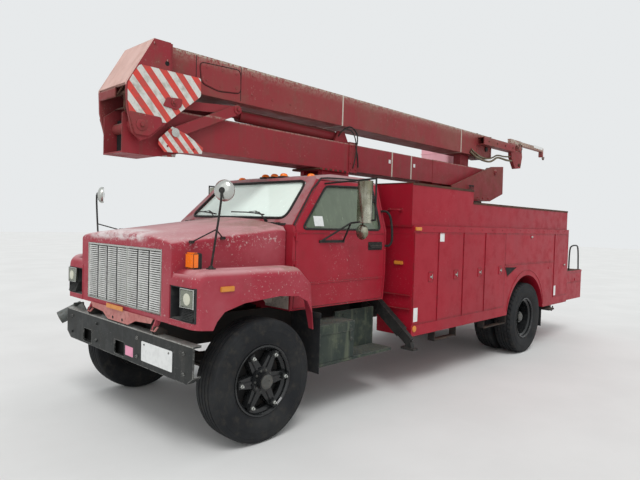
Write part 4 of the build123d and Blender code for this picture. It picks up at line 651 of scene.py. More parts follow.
def cab_details():
    """Seals, wipers, roof lamps, cowl, fender liners, grab bars and the flaps behind the front wheels."""
    gasket = Piece("window_gaskets", trim_black)
    outline = ((-0.8, 1.905), (-0.7, 2.29), (0.7, 2.29), (0.8, 1.905))
    gasket.tube([(shield_x(z) + 0.004, y, z + 0.004) for y, z in rounded(outline, 0.09)], 0.013, closed=True)
    back_window = rounded(((-0.52, 1.86), (-0.48, 2.21), (0.48, 2.21), (0.52, 1.86)), 0.06)
    gasket.tube([(1.628, y, z) for y, z in back_window], 0.012, closed=True)

    def on_glass(y, z, lift):
        return (shield_x(z) + lift, y, z + lift * 0.9)

    wipers = Piece("wipers", trim_black)
    for pivot, elbow, tip in ((0.56, 0.35, -0.1), (-0.28, -0.46, -0.76)):
        wipers.lathe([(-0.02, 0), (-0.02, 0.016), (0.02, 0.014), (0.028, 0)], on_glass(pivot, 1.872, 0.012),
                     (0.7, 0, 0.7), 12)
        wipers.tube([on_glass(pivot, 1.875, 0.03), on_glass((pivot + elbow) / 2, 1.915, 0.05),
                     on_glass(elbow, 1.938, 0.03)], 0.006, 6)
        wipers.tube([on_glass(elbow + 0.12, 1.928, 0.012), on_glass(elbow - 0.1, 1.945, 0.018),
                     on_glass(tip, 1.955, 0.012)], 0.0065, 6, soften=1)
        wipers.tube([on_glass(elbow + 0.05, 1.936, 0.018), on_glass(elbow, 1.944, 0.034),
                     on_glass(elbow - 0.14, 1.95, 0.018)], 0.004, 6)
    lamps = Piece("roof_lamps", amber, smooth=60)
    bases = Piece("roof_lamp_bases", trim_black)
    for y in (-0.58, -0.155, 0.0, 0.155, 0.58):
        x, z = 2.45, 2.36 - 0.022 * (abs(y) > 0.5)
        bases.box((x - 0.055, y - 0.042, z - 0.006), (x + 0.06, y + 0.042, z + 0.014), 0.006)
        lamps.lathe([(0.01, 0), (0.01, 0.038), (0.022, 0.037), (0.036, 0.031), (0.045, 0.02), (0.049, 0)],
                    (x, y, z), UP, 20, stretch=(1.35, 0.95, 1.0))
    cowl = Piece("cowl", trim_black)
    cowl.box((3.02, -0.86, 1.835), (3.052, 0.86, 1.862), 0.005)
    for k in range(20):
        y = -0.74 + 0.078 * k
        cowl.box((3.018, y - 0.028, 1.858), (3.05, y + 0.028, 1.868), 0.002)
    liner = Piece("inner_fender", primer_beige)
    bars = Piece("grab_bars", trim_black)
    flaps = Piece("front_flaps", rubber)
    for _ in both_sides():
        gutter = [(3.03, 1.845), (2.59, 2.316), (2.4, 2.338), (1.7, 2.352)]
        gasket.tube([(x, skin_y(z) + 0.003, z) for x, z in gutter], 0.009, 6, soften=1)
        liner.prism([(3.05, 1.1), (3.05, 1.33), (3.2, 1.33), (3.3, 1.255), (3.13, 1.1)], "y", 0.7, 0.706,
                    0.001)
        liner.box((3.0485, 0.6, 1.06), (3.056, 0.93, 1.42))
        liner.plug((3.056, 0.86, 1.2), AHEAD, 0.05, 0.012, 20, top=0.045)
        bars.tube([(1.65, 0.9, 2.02), (1.655, 0.985, 2.02), (1.64, 1.03, 1.95), (1.625, 1.045, 1.72),
                   (1.63, 1.015, 1.64), (1.645, 0.955, 1.64)], 0.013, 10, soften=2)
        flaps.box((2.858, 0.78, 0.47), (2.868, 1.165, 1.03))
        flaps.box((2.846, 0.78, 0.985), (2.872, 1.165, 1.04), 0.004)
        flaps.box((2.8, 0.43, 0.99), (2.85, 0.8, 1.02), 0.004)


def cab_door_details():
    """Seals, mouldings, handles and mirror heads, which swing with the doors."""
    for name in both_sides():
        body = "cab_door_" + name
        gasket = Piece("door_gasket_" + name, trim_black, body)
        outline = ((2.925, 1.812), (2.488, 2.248), (1.735, 2.276), (1.735, 1.812))
        gasket.tube([(x, skin_y(z) + 0.002, z) for x, z in rounded(outline, 0.06)], 0.011, closed=True)
        lines = Piece("door_mouldings_" + name, cab_red, body)
        for z, tall in ((1.292, 0.02), (1.772, 0.01)):
            depth = skin_y(z) - 0.001
            if z < 1.34:
                depth -= 0.02 * (1.34 - z) / 0.295
            lines.box((1.672, depth, z - tall / 2), (2.998, depth + 0.006, z + tall / 2), 0.0025)
        handle = Piece("door_handle_" + name, trim_black, body)
        handle.box((1.705, 0.96, 1.596), (1.945, 0.968, 1.684), 0.004)
        handle.box((1.735, 0.966, 1.618), (1.93, 0.986, 1.655), 0.008)
        handle.plug((1.725, 0.966, 1.637), OUT, 0.014, 0.01, 16, top=0.013)
        head_x, head_y = 2.37, 1.256
        arc = [(head_x + 0.01 + 0.036 * math.sin(a),
                head_y + 0.092 * math.cos(a)) for a in (math.pi * k / 12 for k in range(13))]
        mirror = Piece("mirror_heads_" + name, mirror_shell, body)
        mirror.prism(arc, "z", 1.882, 2.29, 0.003)
        mirror.lathe([(-0.006, 0), (-0.006, 0.074), (0.002, 0.076), (0.016, 0.06), (0.028, 0.03),
                      (0.031, 0)], (head_x, 1.225, 1.795), AHEAD, 28)
        face = Piece("mirror_faces_" + name, mirror_glass, body)
        face.box((head_x - 0.017, head_y - 0.078, 1.893), (head_x - 0.013, head_y + 0.078, 2.277), 0)
        face.lathe([(0, 0), (0.005, 0.02), (0.002, 0.052), (0, 0.056), (-0.002, 0)],
                   (head_x - 0.021, 1.225, 1.795), BACK, 28)
    note = Piece("door_note", blank_white, "cab_door_left")
    turn = Matrix.Rotation(math.atan2(CAB_HALF - CAB_TOP_HALF, CAB_SHOULDER - CAB_BELT), 3, "X")
    note.box((2.61, skin_y(1.888) - 0.012, 1.838), (2.738, skin_y(1.888) - 0.01, 1.94), 0, turn)


def fender_mirrors():
    """Posts, braces, turned bowls and the housings of the turn lamps on the fenders."""
    bowls = Piece("hood_mirror_bowls", stainless, "hood")
    faces = Piece("hood_mirror_faces", mirror_glass, "hood")
    brackets = Piece("hood_mirror_brackets", trim_black, "hood")
    base, at = Vector((3.98, 1.021, 1.488)), Vector((3.928, 1.1, 2.105))
    axis = Vector((0.88, 0.47, 0)).normalized()
    head = at + axis * 0.046
    foot_half = Vector((0.022, 0.012, 0.012))
    for _ in both_sides():
        bowls.lathe([(-0.022, 0.084), (-0.004, 0.087), (0.006, 0.084), (0.02, 0.072), (0.032, 0.05),
                     (0.038, 0.022), (0.039, 0)], at, axis, 40)
        faces.lathe([(0, 0), (0.01, 0.03), (0.004, 0.066), (-0.002, 0.082), (-0.006, 0)], at - axis * 0.02,
                    -axis, 40)
        brackets.lathe([(0.034, 0), (0.034, 0.026), (0.044, 0.024), (0.05, 0.012), (0.05, 0)], at, axis, 20)
        brackets.tube([base, head - Vector((0, 0, 0.1)), head], 0.009, 10, soften=1)
        for foot in (Vector((4.06, 0.862, 1.69)), Vector((3.76, 0.866, 1.722))):
            brackets.tube([base.lerp(head, 0.5), foot], 0.006)
            brackets.box(foot - foot_half, foot + foot_half)
        brackets.box((3.95, 0.995, 1.48), (4.01, 1.047, 1.49), 0.002)
        brackets.lathe([(-0.004, 0), (-0.004, 0.024), (0.012, 0.02), (0.02, 0.012), (0.02, 0)], base, UP, 16)
        brackets.box((4.04, 0.88, 1.4803), (4.12, 0.99, 1.606), 0.006)
    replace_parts(brackets.done(), "hood_mirrors")


def hood_details():
    """Grille bars, headlamps, markers, the strip under the grille, and painted shade in the grille, its holes
    and the hood slots.
    """
    lo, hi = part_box("grille")
    x = hi.x + 0.001
    trim = Piece("grille_trim", stainless, "hood")
    trim.tube([(x, lo.y + 0.01, lo.z + 0.01), (x, lo.y + 0.01, hi.z - 0.01), (x, hi.y - 0.01, hi.z - 0.01),
               (x, hi.y - 0.01, lo.z + 0.01)], 0.011, closed=True)
    # Black strips between the grille bars, a black sheet behind the grille and the two black hood slots are
    # painted shade.
    painted_shade = Piece("grille_shadow", seam_and_shade_black, "hood")
    columns, post, margin = 7, 4, 0.016
    for k in range(1, columns):
        y = lo.y + margin + (hi.y - lo.y - 2 * margin) * k / columns
        if k == post:
            trim.box((x - 0.014, y - 0.007, lo.z + 0.012), (x + 0.005, y + 0.007, hi.z - 0.012), 0.002)
        else:
            painted_shade.box((x - 0.004, y - 0.0085, lo.z + 0.016), (x + 0.0005, y + 0.0085, hi.z - 0.016), 0)
    painted_shade.box((lo.x - 0.006, lo.y + 0.002, lo.z + 0.002), (lo.x - 0.003, hi.y - 0.002, hi.z - 0.002), 0)
    for y in (-0.4, 0.14):
        painted_shade.prism([(3.985, y - 0.085), (4.02, y - 0.085), (4.045, y + 0.085), (4.02, y + 0.085)], "z", 1.758,
                  1.7635, 0)
    lenses = Piece("headlamp_lenses", clear_lens, "hood")
    glow = Piece("headlamp_reflectors", lamp_glow, "hood")
    ribs = Piece("headlamp_ribs", lamp_black, "hood")
    rims = Piece("headlamp_rims", stainless, "hood")
    markers = Piece("side_markers", dull_amber, "hood")
    turns = Piece("turn_lenses", amber, "hood")
    strip = Piece("under_grille_strip", faded_strip, "hood")
    face, strip_x = HOOD_FRONT - 0.033, HOOD_FRONT - 0.016
    for _ in both_sides():
        lenses.box((face - 0.01, 0.988, 1.206), (face + 0.01, 1.158, 1.338), 0.006)
        rims.tube([(face + 0.006, y, z) for y, z in ((0.984, 1.202), (0.984, 1.342), (1.162, 1.342),
                                                     (1.162, 1.202))], 0.006, closed=True)
        glow.lathe([(0, 0), (0, 0.046), (0.003, 0.046), (0.006, 0.03), (0.007, 0)],
                   (face + 0.0095, 1.08, 1.268), AHEAD, 28)
        for k in range(8):
            z = 1.106 + 0.0115 * k
            ribs.box((face - 0.055, 0.985, z), (face + 0.01 - 0.004 * k, 1.158, z + 0.006), 0.001)
        markers.box((3.877, FENDER_Y - 0.004, 1.318), (4.008, FENDER_Y + 0.014, 1.36), 0.005)
        turns.box((4.07, 0.8755, 1.4825), (4.128, 0.9945, 1.611), 0.012)
        strip.tube([(4.222, 0.585, 0.985), (4.246, 0.585, 0.96), (4.246, 0.64, 0.96), (4.222, 0.64, 0.985)],
                   0.009, closed=True)
    strip.prism([(-0.6, 1.052), (0.6, 1.052), (0.56, 1.006), (0.3, 0.99), (0.16, 0.938), (-0.23, 0.938),
                 (-0.33, 0.99), (-0.56, 1.006)], "x", strip_x - 0.006, strip_x, 0.001)
    # Black discs paint the shade inside the two holes under the grille.
    holes = Piece("under_grille_holes", seam_and_shade_black, "hood")
    for y in (-0.124, 0.057):
        holes.plug((strip_x, y, 0.966), AHEAD, 0.014, 0.0012, 16)
    Piece("under_grille_lamp", dull_amber, "hood").box((HOOD_FRONT - 0.002, -0.22, 1.047),
                                                       (HOOD_FRONT + 0.004, 0.1, 1.086), 0.002)


def latch(dish, chrome, x, z):
    """A T-latch in its square dish on a compartment door."""
    rim = rounded(quad(x - 0.046, x + 0.046, z - 0.054, z + 0.054), 0.012)
    dish.prism(rounded(quad(x - 0.052, x + 0.052, z - 0.06, z + 0.06), 0.014), "y", BODY_Y - 0.001,
               BODY_Y + 0.004, 0.001)
    dish.tube([(u, BODY_Y + 0.004, v) for u, v in rim], 0.0035, 6, closed=True)
    chrome.box((x - 0.026, BODY_Y + 0.003, z - 0.006), (x + 0.02, BODY_Y + 0.01, z + 0.006), 0.002)
    chrome.box((x - 0.03, BODY_Y + 0.003, z - 0.03), (x - 0.02, BODY_Y + 0.012, z + 0.03))
    chrome.disc((x + 0.006, BODY_Y + 0.003, z), OUT, 0.012, 0.009, 16)


def compartment_doors():
    """Latches, edge hems and labels on the compartment doors."""
    spots = {"door_tall_1": (1.1, 1.29), "door_tall_2": (0.536, 1.29), "door_tall_3": (-0.066, 1.29),
             "door_tall_4": (-0.657, 1.29), "door_wheel": (-1.661, 1.752), "door_rear": (-3.021, 1.283)}
    for name in both_sides():
        for door, (x, z) in spots.items():
            body = door + "_" + name
            dish = Piece("latch_dish_" + body, body_red, body)
            chrome = Piece("latch_" + body, stainless, body, slot="rod_chrome")
            if door.startswith("door_tall"):
                latch(dish, chrome, x, z)
            else:
                dish.disc((x, BODY_Y, z), OUT, 0.03, 0.004)
                chrome.box((x - 0.036, BODY_Y + 0.003, z - 0.007), (x + 0.036, BODY_Y + 0.015, z + 0.007))
                chrome.disc((x, BODY_Y + 0.003, z), OUT, 0.013, 0.013, 16)
            lo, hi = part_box(body)
            for edge in (lo.z + 0.012, hi.z - 0.012):
                dish.box((lo.x + 0.01, BODY_Y - 0.001, edge - 0.004),
                         (hi.x - 0.01, BODY_Y + 0.002, edge + 0.004), 0.001)
    for body, x0, x1, z0, z1 in (("door_tall_2_left", 0.828, 0.936, 1.694, 1.793),
                                 ("door_tall_1_left", 1.345, 1.425, 0.8, 0.955),
                                 ("door_rear_left", -2.69, -2.6, 0.79, 0.95)):
        Piece("label_" + body, blank_white, body).box((x0, BODY_Y - 0.001, z0), (x1, BODY_Y + 0.0012, z1), 0)


def body_details():
    """Lamps, ledges, bars and rusty caps on the side packs, flaps, and the boom's rest pad."""
    lamps = Piece("body_lamps", dull_amber)
    bases = Piece("body_lamp_bases", body_red)
    rust = Piece("body_rust_caps", rust_brown, slot="body_red")
    ledges = Piece("body_wall_ledges", body_red)
    dark = Piece("body_recesses", seam_and_shade_black)
    bars = Piece("body_wall_bars", body_red)
    flaps = Piece("rear_flaps", rubber)
    front, rear, step_x = BODY_FRONT, BODY_REAR, 0.098
    for _ in both_sides():
        lamps.prism(rounded(quad(1.335, 1.445, 1.818, 1.856), 0.012), "y", 1.216, 1.236, 0.004)
        bases.prism(rounded(quad(1.325, 1.455, 1.812, 1.862), 0.01), "y", 1.213, 1.219, 0.001)
        lamps.box((front, 0.965, 1.432), (front + 0.02, 1.085, 1.472), 0.006)
        bases.box((front - 0.002, 0.955, 1.424), (front + 0.006, 1.095, 1.48), 0.002)
        lamps.disc((1.4, BODY_Y, 0.722), OUT, 0.036, 0.008)
        for z0, z1, reach in ((1.855, 1.872, 0.016), (1.088, 1.1, 0.026), (0.936, 0.948, 0.034)):
            ledges.box((front - 0.002, 0.745, z0), (front + reach, 1.195, z1))
        bars.tube([(front, 0.87, 2.045), (front + 0.045, 0.872, 2.045), (front + 0.045, 1.035, 2.045),
                   (front, 1.037, 2.045)], 0.01, soften=2)
        for y in (0.87, 1.037):
            bars.disc((front, y, 2.045), AHEAD, 0.022, 0.006, 16)
        for x0, x1, z in ((step_x, front, 2.345), (rear, step_x, 2.19)):
            rust.box((x0, 1.15, z - 0.004), (x1 + 0.002, 1.187, z + 0.005), 0.0015)
            rust.box((x0, 1.18, z - 0.022), (x1 + 0.002, 1.186, z + 0.002), 0.0015)
        rust.box((front - 0.03, 0.735, 2.34), (front + 0.005, 1.187, 2.35), 0.0015)
        # The black triangle paints the shade inside the recess.
        dark.prism([(-0.8, 1.321), (-1.16, 1.308), (-0.88, 1.198)], "y", BODY_Y - 0.001, BODY_Y + 0.0012, 0)
        ledges.tube([(x, BODY_Y + 0.002, z) for x, z in ((-0.797, 1.325), (-1.17, 1.311), (-0.877, 1.191))],
                    0.0045, 6, closed=True)
        bases.disc((-2.368, BODY_Y, 1.256), OUT, 0.02, 0.008)
        for k in range(16):
            ledges.bolt((1.35 - 0.29 * k, 1.214, 1.8405), OUT, 0.0065)
        arch = around(31, -1.545, 0.6, 0.655, math.radians(8), math.radians(164 / 30))
        ledges.tube([(x, BODY_Y + 0.001, z) for x, z in arch], 0.0055, 6)
        ledges.box((rear + 0.01, 1.205, 0.64), (-2.6, 1.217, 0.655), 0.002)
        flaps.box((-2.212, 0.61, 0.33), (-2.202, 1.19, 0.66))
        flaps.box((-2.222, 0.61, 0.632), (-2.196, 1.19, 0.668))
    rust.box((front - 0.03, -0.735, 2.34), (front + 0.004, 0.735, 2.35), 0.0015)
    pad = Piece("boom_rest_pad", rust_brown, slot="tyre_rubber")
    pad.box((1.47, -0.222, 2.5), (1.95, 0.222, 2.5165), 0.006)
    for k in range(6):
        x = 1.5 + 0.084 * k
        pad.box((x, -0.236, 2.492), (x + 0.05, 0.236, 2.514), 0.004)


def tail_details():
    """Hoops, shelves, seams and lamps at the tail."""
    hoop = Piece("tail_hoops", trim_black, slot="frame_black")
    shelf = Piece("tail_shelves", rust_brown, slot="body_red")
    seam = Piece("tail_seams", body_red)
    lamps = Piece("tail_lamps", red_lens)
    ambers = Piece("tail_turn_lamps", amber)
    shell = Piece("tail_lamp_shells", trim_black)
    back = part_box("deck")[0].x
    for _ in both_sides():
        hoop.tube([(-4.07, 1.1, 1.148), (-4.03, 1.1, 1.56), (-3.93, 1.1, 1.6), (-3.7, 1.1, 1.592),
                   (-3.6, 1.1, 1.54), (-3.59, 1.1, 1.148)], 0.013, 10, soften=2)
        for x in (-4.07, -3.59):
            hoop.disc((x, 1.1, 1.15), UP, 0.035, 0.008)
        shelf.box((back + 0.004, 0.565, 1.149), (-3.204, 1.146, 1.1535), 0.001)
        for k in range(6):
            x = back + 0.07 + 0.135 * k
            shelf.box((x, 0.6, 1.152), (x + 0.09, 1.12, 1.1555), 0.0012)
        seam.box((back + 0.006, 1.148, 0.938), (-3.206, 1.156, 0.946), 0.002)
        seam.box((back + 0.006, 1.148, 1.118), (-3.206, 1.16, 1.15))
        seam.disc((-3.776, 1.149, 0.985), OUT, 0.026, 0.01)
        seam.box((back - 0.006, 0.58, 0.72), (back + 0.002, 1.13, 1.1))
        for y, look in ((1.06, lamps), (0.93, ambers), (0.66, lamps)):
            shell.disc((back - 0.006, y, 0.86), BACK, 0.058, 0.01, 28)
            look.lathe([(0, 0), (0, 0.05), (0.012, 0.048), (0.02, 0.034), (0.023, 0)],
                       (back - 0.015, y, 0.86), BACK, 28)
        hoop.tube([(-2.64, 1.16, 0.64), (-2.64, 1.165, 0.56), (-2.69, 1.165, 0.52), (-2.74, 1.165, 0.56),
                   (-2.735, 1.165, 0.6)], 0.01, soften=2)
        hoop.disc((-2.64, 1.16, 0.64), (0, 0, -1), 0.024, 0.006)
    Piece("tail_plate", blank_white).box((back - 0.008, -0.155, 0.86), (back - 0.001, 0.155, 1.015), 0.002)


def step_details():
    """Tread plate, lids and hinge straps on the cab steps."""
    tread = Piece("step_treads", tread_metal)
    lids = Piece("step_lids", step_grey)
    pitch, half = 0.046, Vector((0.013, 0.0035, 0.002))
    for _ in both_sides():
        for x0, x1, z in ((2.285, 2.835, 0.9), (1.645, 2.265, 0.53)):
            tread.box((x0, 0.806, z - 0.001), (x1, 1.08, z + 0.003), 0.001)
            for i in range(int((x1 - x0) / pitch)):
                for j in range(6):
                    at = Vector((x0 + 0.025 + pitch * i, 0.825 + pitch * j, z + 0.004))
                    lean = Matrix.Rotation(math.radians(45 if (i + j) % 2 else -45), 3, "Z")
                    tread.box(at - half, at + half, 0, lean)
        lids.box((2.276, 1.084, 0.8), (2.844, 1.092, 0.896))
        lids.box((2.276, 1.084, 0.5), (2.844, 1.09, 0.53))
        for x in (2.33, 2.79):
            lids.box((x - 0.016, 1.088, 0.7), (x + 0.016, 1.098, 0.83), 0.004)
            lids.bolt((x, 1.096, 0.72), OUT, 0.01)
            lids.bolt((x, 1.096, 0.812), OUT, 0.01)
        for x in (1.75, 1.95, 2.15):
            lids.bolt((x, 0.8195, 0.9), OUT, 0.01)


def bumper_details():
    """Bare edges, blank plates, bolts, painted shade behind the tow holes and the torn end guard."""
    edge = Piece("bumper_edges", bare_steel)
    edge.box((4.152, -1.178, 0.9205), (4.2315, 1.178, 0.9245), 0.0012)
    edge.box((4.2285, -1.178, 0.912), (4.2315, 1.178, 0.924), 0.001)
    # Black sheets behind the tow holes are painted shade.
    dark = Piece("bumper_hole_shade", seam_and_shade_black)
    for y in (-0.685, -0.01):
        dark.box((4.17, y - 0.24, 0.636), (4.172, y + 0.12, 0.85), 0)
    Piece("number_plate", blank_white).prism(rounded(quad(0.4, 0.89, 0.672, 0.838), 0.012), "x", 4.2305,
                                             4.2335, 0.0008)
    Piece("bumper_label", blank_pink).box((4.2298, 0.11, 0.667), (4.2308, 0.25, 0.75), 0)
    bolts = Piece("bumper_bolts", bumper_black)
    for y in (-1.05, -0.48, 0.32, 1.05):
        for z in (0.69, 0.85):
            bolts.bolt((4.2295, y, z), AHEAD, 0.014)
    for y in (0.45, 0.84):
        bolts.bolt((4.233, y, 0.815), AHEAD, 0.007)
    guard = Piece("bumper_end_guard", pale_steel)
    slant = Vector((0.8, -0.35, -0.45)).normalized()
    guard.lathe([(0.0, 0.066), (0.25, 0.066), (0.25, 0.054), (0.0, 0.054), (0.0, 0.066)],
                (4.05, -1.238, 0.905), slant, 28)
    guard.prism([(-1.215, 0.88), (-0.96, 0.99), (-0.86, 0.925), (-1.16, 0.835)], "x", 4.16, 4.172)
    guard.box((4.06, -1.2, 0.9), (4.165, -1.176, 0.96), 0.004)


def wheel_details():
    """Nuts, spoke clamps, hub caps, rim edges and brake drums; the sizes are y stations and radii."""
    for name in both_sides():
        front = ("front_wheel_" + name, FRONT_AXLE_X, FRONT_Y, 0.085, 0.105, 0.15, 0.072, 0.105, FRONT_Y)
        rear = ("rear_wheels_" + name, REAR_AXLE_X, 0.907, 0.05, 0.13, 0.2, 0.078, 0.12, REAR_YS[1])
        for body, x, y_mid, spoke_y, hub_y, cap_y, cap_r, hub_r, rim_y in (front, rear):
            bright = Piece("wheel_nuts_" + body, stainless, body, slot="rod_chrome")
            cast = Piece("wheel_clamps_" + body, wheel_black, body)
            grease = Piece("hub_cap_" + body, hub_grime, body)
            drum = Piece("brake_drum_" + body, frame_black, body, slot="wheel_black")
            for k in range(6):
                a = math.radians(60 * k)
                out = Vector((math.cos(a), 0, math.sin(a)))
                at = Vector((x, y_mid + spoke_y + 0.014, TYRE_R)) + out * 0.238
                lip = at + out * 0.024 + Vector((0, 0.006, 0))
                root = Vector((x, y_mid + spoke_y + 0.004, TYRE_R)) + out * 0.16
                for middle, half, chamfer in ((at, (0.024, 0.014, 0.026), 0.004),
                                              (lip, (0.01, 0.02, 0.024), 0.004),
                                              (root, (0.065, 0.006, 0.014), 0.005)):
                    half = Vector(half)
                    cast.box(middle - half, middle + half, chamfer, Matrix.Rotation(-a, 3, "Y"))
                nut = at + Vector((0, 0.014, 0))
                bright.lathe([(0, 0), (0, 0.0175), (0.016, 0.0175), (0.02, 0.014), (0.02, 0)], nut, OUT, 6)
                bright.lathe([(0.018, 0), (0.018, 0.009), (0.034, 0.009), (0.036, 0.006), (0.036, 0)], nut,
                             OUT, 12)
            for u, v in around(10, x, TYRE_R, cap_r * 1.22):
                grease.bolt((u, y_mid + hub_y - 0.001, v), OUT, 0.01)
            grease.lathe([(-0.002, 0), (-0.002, cap_r * 0.86), (0.01, cap_r * 0.86), (0.02, cap_r * 0.7),
                          (0.022, cap_r * 0.3), (0.017, cap_r * 0.26), (0.017, 0)],
                         (x, y_mid + cap_y, TYRE_R), OUT, 32)
            cast.lathe([(-0.004, cap_r * 0.98), (-0.004, cap_r * 1.04), (0.004, cap_r * 1.04),
                        (0.004, cap_r * 0.98)], (x, y_mid + cap_y - 0.012, TYRE_R), OUT, 32)
            cast.lathe([(-0.004, hub_r), (-0.004, hub_r + 0.006), (0.006, hub_r + 0.006), (0.006, hub_r)],
                       (x, y_mid + hub_y - 0.012, TYRE_R), OUT, 40)
            drum.lathe([(-0.04, 0.1), (-0.04, 0.262), (0.012, 0.262), (0.022, 0.25), (0.022, 0.1)],
                       (x, y_mid - 0.02, TYRE_R), OUT, 40)
            cast.lathe([(0.104, 0.2965), (0.1155, 0.3005), (0.1175, 0.296), (0.115, 0.2895),
                        (0.104, 0.2885)], (x, rim_y, TYRE_R), OUT, 64)


def elbow_details():
    """Striped sheets, bosses, bolts and pin caps about the elbow."""
    pin = (3.856, 2.649)
    notch = around(11, *pin, 0.031, math.radians(90), math.radians(18))
    for name in both_sides():
        Piece("elbow_stripes_" + name, stripes_big, "upper_boom").prism(rounded([(4.225, 3.172),
                                                                                 (3.618, 3.178),
                                                                                 (3.614, 3.012),
                                                                                 (3.965, 2.714),
                                                                                 (4.305, 2.724),
                                                                                 (4.326, 2.84), (4.33, 2.99),
                                                                                 (4.28, 3.088)], 0.022), "y",
                                                                        PLATE_Y, 0.2735, 0.0008)
        boss = Piece("elbow_bosses_" + name, elbow_paint, "upper_boom")
        boss.prism(rounded([(4.005, 2.859), (3.967, 2.942), (3.813, 2.953), (3.818, 2.886), (3.865, 2.845)],
                           0.018), "y", 0.272, 0.284, 0.003)
        boss.prism(rounded([(4.322, 2.765), (4.02, 2.755), (4.008, 2.69), (4.135, 2.575), (4.262, 2.578)],
                           0.02), "y", PLATE_Y, 0.287, 0.003)
        boss.disc((3.9, 0.283, 2.902), OUT, 0.03, 0.01)
        boss.disc((ELBOW_X, 0.286, ELBOW_Z), OUT, 0.05, 0.008)
        boss.bolt((ELBOW_X, 0.293, ELBOW_Z), OUT, 0.018)
        boss.bolt((3.9, 0.292, 2.902), OUT)
        for x, z in ((3.96, 3.262), (4.09, 3.385)):
            boss.bolt((x, PLATE_Y, z), OUT, 0.01)
        # A black disc paints the shade inside a hole in the plate.
        Piece("elbow_holes_" + name, seam_and_shade_black, "upper_boom").disc((3.966, 0.2685, 3.235), OUT, 0.022, 0.0024,
                                                                  20)
        small = Piece("link_stripes_" + name, stripes_small, "lower_boom")
        rear_half = [(3.856, 2.6893), (3.732, 2.648), (3.556, 2.547), (3.569, 2.489), (3.856, 2.4706)]
        small.prism(rear_half + notch[::-1], "y", 0.2345, 0.2375, 0)
        front_half = [(3.856, 2.4706), (3.959, 2.464), (4.02, 2.527), (4.014, 2.575), (3.885, 2.699),
                      (3.856, 2.6893)]
        small.prism(front_half + [(2 * pin[0] - x, z) for x, z in notch], "y", 0.2345, 0.2375, 0)
        bracket = Piece("link_plate_bracket_" + name, boom_red, "lower_boom")
        bracket.box((3.72, 0.178, 2.492), (3.95, 0.2348, 2.512), 0.002)
        for x in (3.66, 3.93):
            bracket.bolt((x, 0.2372, 2.52), OUT, 0.008)
        glint = Piece("arm_pin_caps_" + name, stainless, "link_arms", slot="rod_chrome")
        glint.lathe([(0, 0), (0, 0.037), (0.002, 0.04), (0.004, 0.036), (0.004, 0.016), (0.0055, 0.012),
                     (0.0055, 0)], (pin[0], 0.2468, pin[1]), OUT, 28)
        ends = Piece("rod_pin_caps_" + name, boom_red, "link_arms")
        ends.disc((3.159, 0.2295, 2.971), OUT, 0.044, 0.014)
        ends.bolt((3.159, 0.242, 2.971), OUT, 0.018)


def elbow_skin():
    """The elbow's two crank plates cut to their real outline, its inner bosses, pins and front sheet."""
    head = Piece("elbow_head_plates", elbow_paint, "upper_boom")
    rear_x, head_rear_x = 3.614, 3.9003
    low_z, mid_z, top_z = 3.06, 3.181, 3.425
    plate = [(rear_x, 3.01), (rear_x, mid_z), (3.93, mid_z), (3.93, top_z), (4.095, top_z), (4.34, 3.0),
             (4.332, 2.8), (4.28, 2.59), (4.205, 2.53), (4.11, 2.57), (3.963, 2.709)]
    sheet = [(head_rear_x, low_z), (head_rear_x, top_z), (4.095, top_z), (4.34, 3.0), (4.318, 2.99),
             (4.082, 3.405), (3.9203, 3.405), (3.9203, low_z)]
    for _ in both_sides():
        head.prism(plate, "y", 0.246, 0.27)
        head.box((rear_x + 0.03, 0.1803, low_z), (3.929, 0.247, mid_z - 0.02), 0)
        head.plug((ELBOW_X, 0.1803, ELBOW_Z), OUT, 0.08, 0.067, 40)
        head.plug((3.889, 0.186, 2.907), OUT, 0.025, 0.061)
    head.prism(sheet, "y", -0.247, 0.247, 0)
    head.plug((ELBOW_X, -0.29, ELBOW_Z), OUT, 0.05, 0.58, 32)
    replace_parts(head.done(), "elbow_head")


def elbow_front_scraps():
    """Bent flap under the elbow's front sheet, and the brackets and stubs that show in its open mouth."""
    flap = Piece("elbow_flap", elbow_paint, "upper_boom")
    flap.prism([(4.322, 2.992), (4.339, 2.985), (4.339, 2.916), (4.331, 2.908), (4.327, 2.916),
                (4.327, 2.975)], "y", -0.255, 0.06, 0.001)
    scraps = Piece("elbow_scraps", rust_brown, "upper_boom")
    scraps.prism([(4.24, 3.06), (4.318, 2.96), (4.326, 2.8), (4.3, 2.76), (4.282, 2.9), (4.225, 3.0)], "y",
                 0.192, 0.202, 0.001)
    scraps.prism([(4.3, 2.97), (4.332, 2.9), (4.318, 2.78), (4.292, 2.8)], "y", 0.205, 0.214, 0.001)
    scraps.box((4.27, -0.245, 2.93), (4.3, 0.245, 2.955), 0.004)
    for k in range(5):
        y, z = 0.02 * k, 2.966 + 0.012 * k
        scraps.tube([(4.2, 0.06 + y, z), (4.29, 0.07 + y, z - 0.012), (4.324, 0.075 + 0.021 * k, z - 0.036)],
                    0.008, soften=1)


def stowed_parts():
    """Hanging steps under the body, the rear outrigger legs in their pockets, and the packs' front walls."""
    hung = Piece("hanging_steps", frame_black)
    legs = Piece("rear_outrigger_legs", frame_black)
    walls = Piece("body_front_walls", body_red)
    step_z, strap = 0.516, 0.01
    for _ in both_sides():
        for rear_x, front_x in ((0.44, 0.935), (-0.94, -0.29)):
            hung.box((rear_x, 1.095, step_z), (front_x, 1.19, step_z + strap), 0.002)
            for x in (rear_x, front_x - strap):
                hung.box((x, 1.095, step_z), (x + strap, 1.19, 0.6405), 0.002)
        legs.box((-2.484, 1.095, 0.6), (-2.404, 1.175, 1.0997), 0.004)
        legs.box((-2.544, 1.105, 0.57), (-2.344, 1.265, 0.601), 0.006)
        for x in (-2.49, -2.404):
            legs.prism([(1.13, 0.6), (1.245, 0.6), (1.135, 0.69)], "x", x, x + 0.006, 0)
        walls.box((BODY_FRONT - 0.025, 0.735, 1.78), (BODY_FRONT - 0.0005, 1.1795, 2.3445), 0)
        walls.box((BODY_FRONT - 0.025, 0.735, 1.78), (BODY_FRONT + 0.002, 1.2145, 1.876), 0)


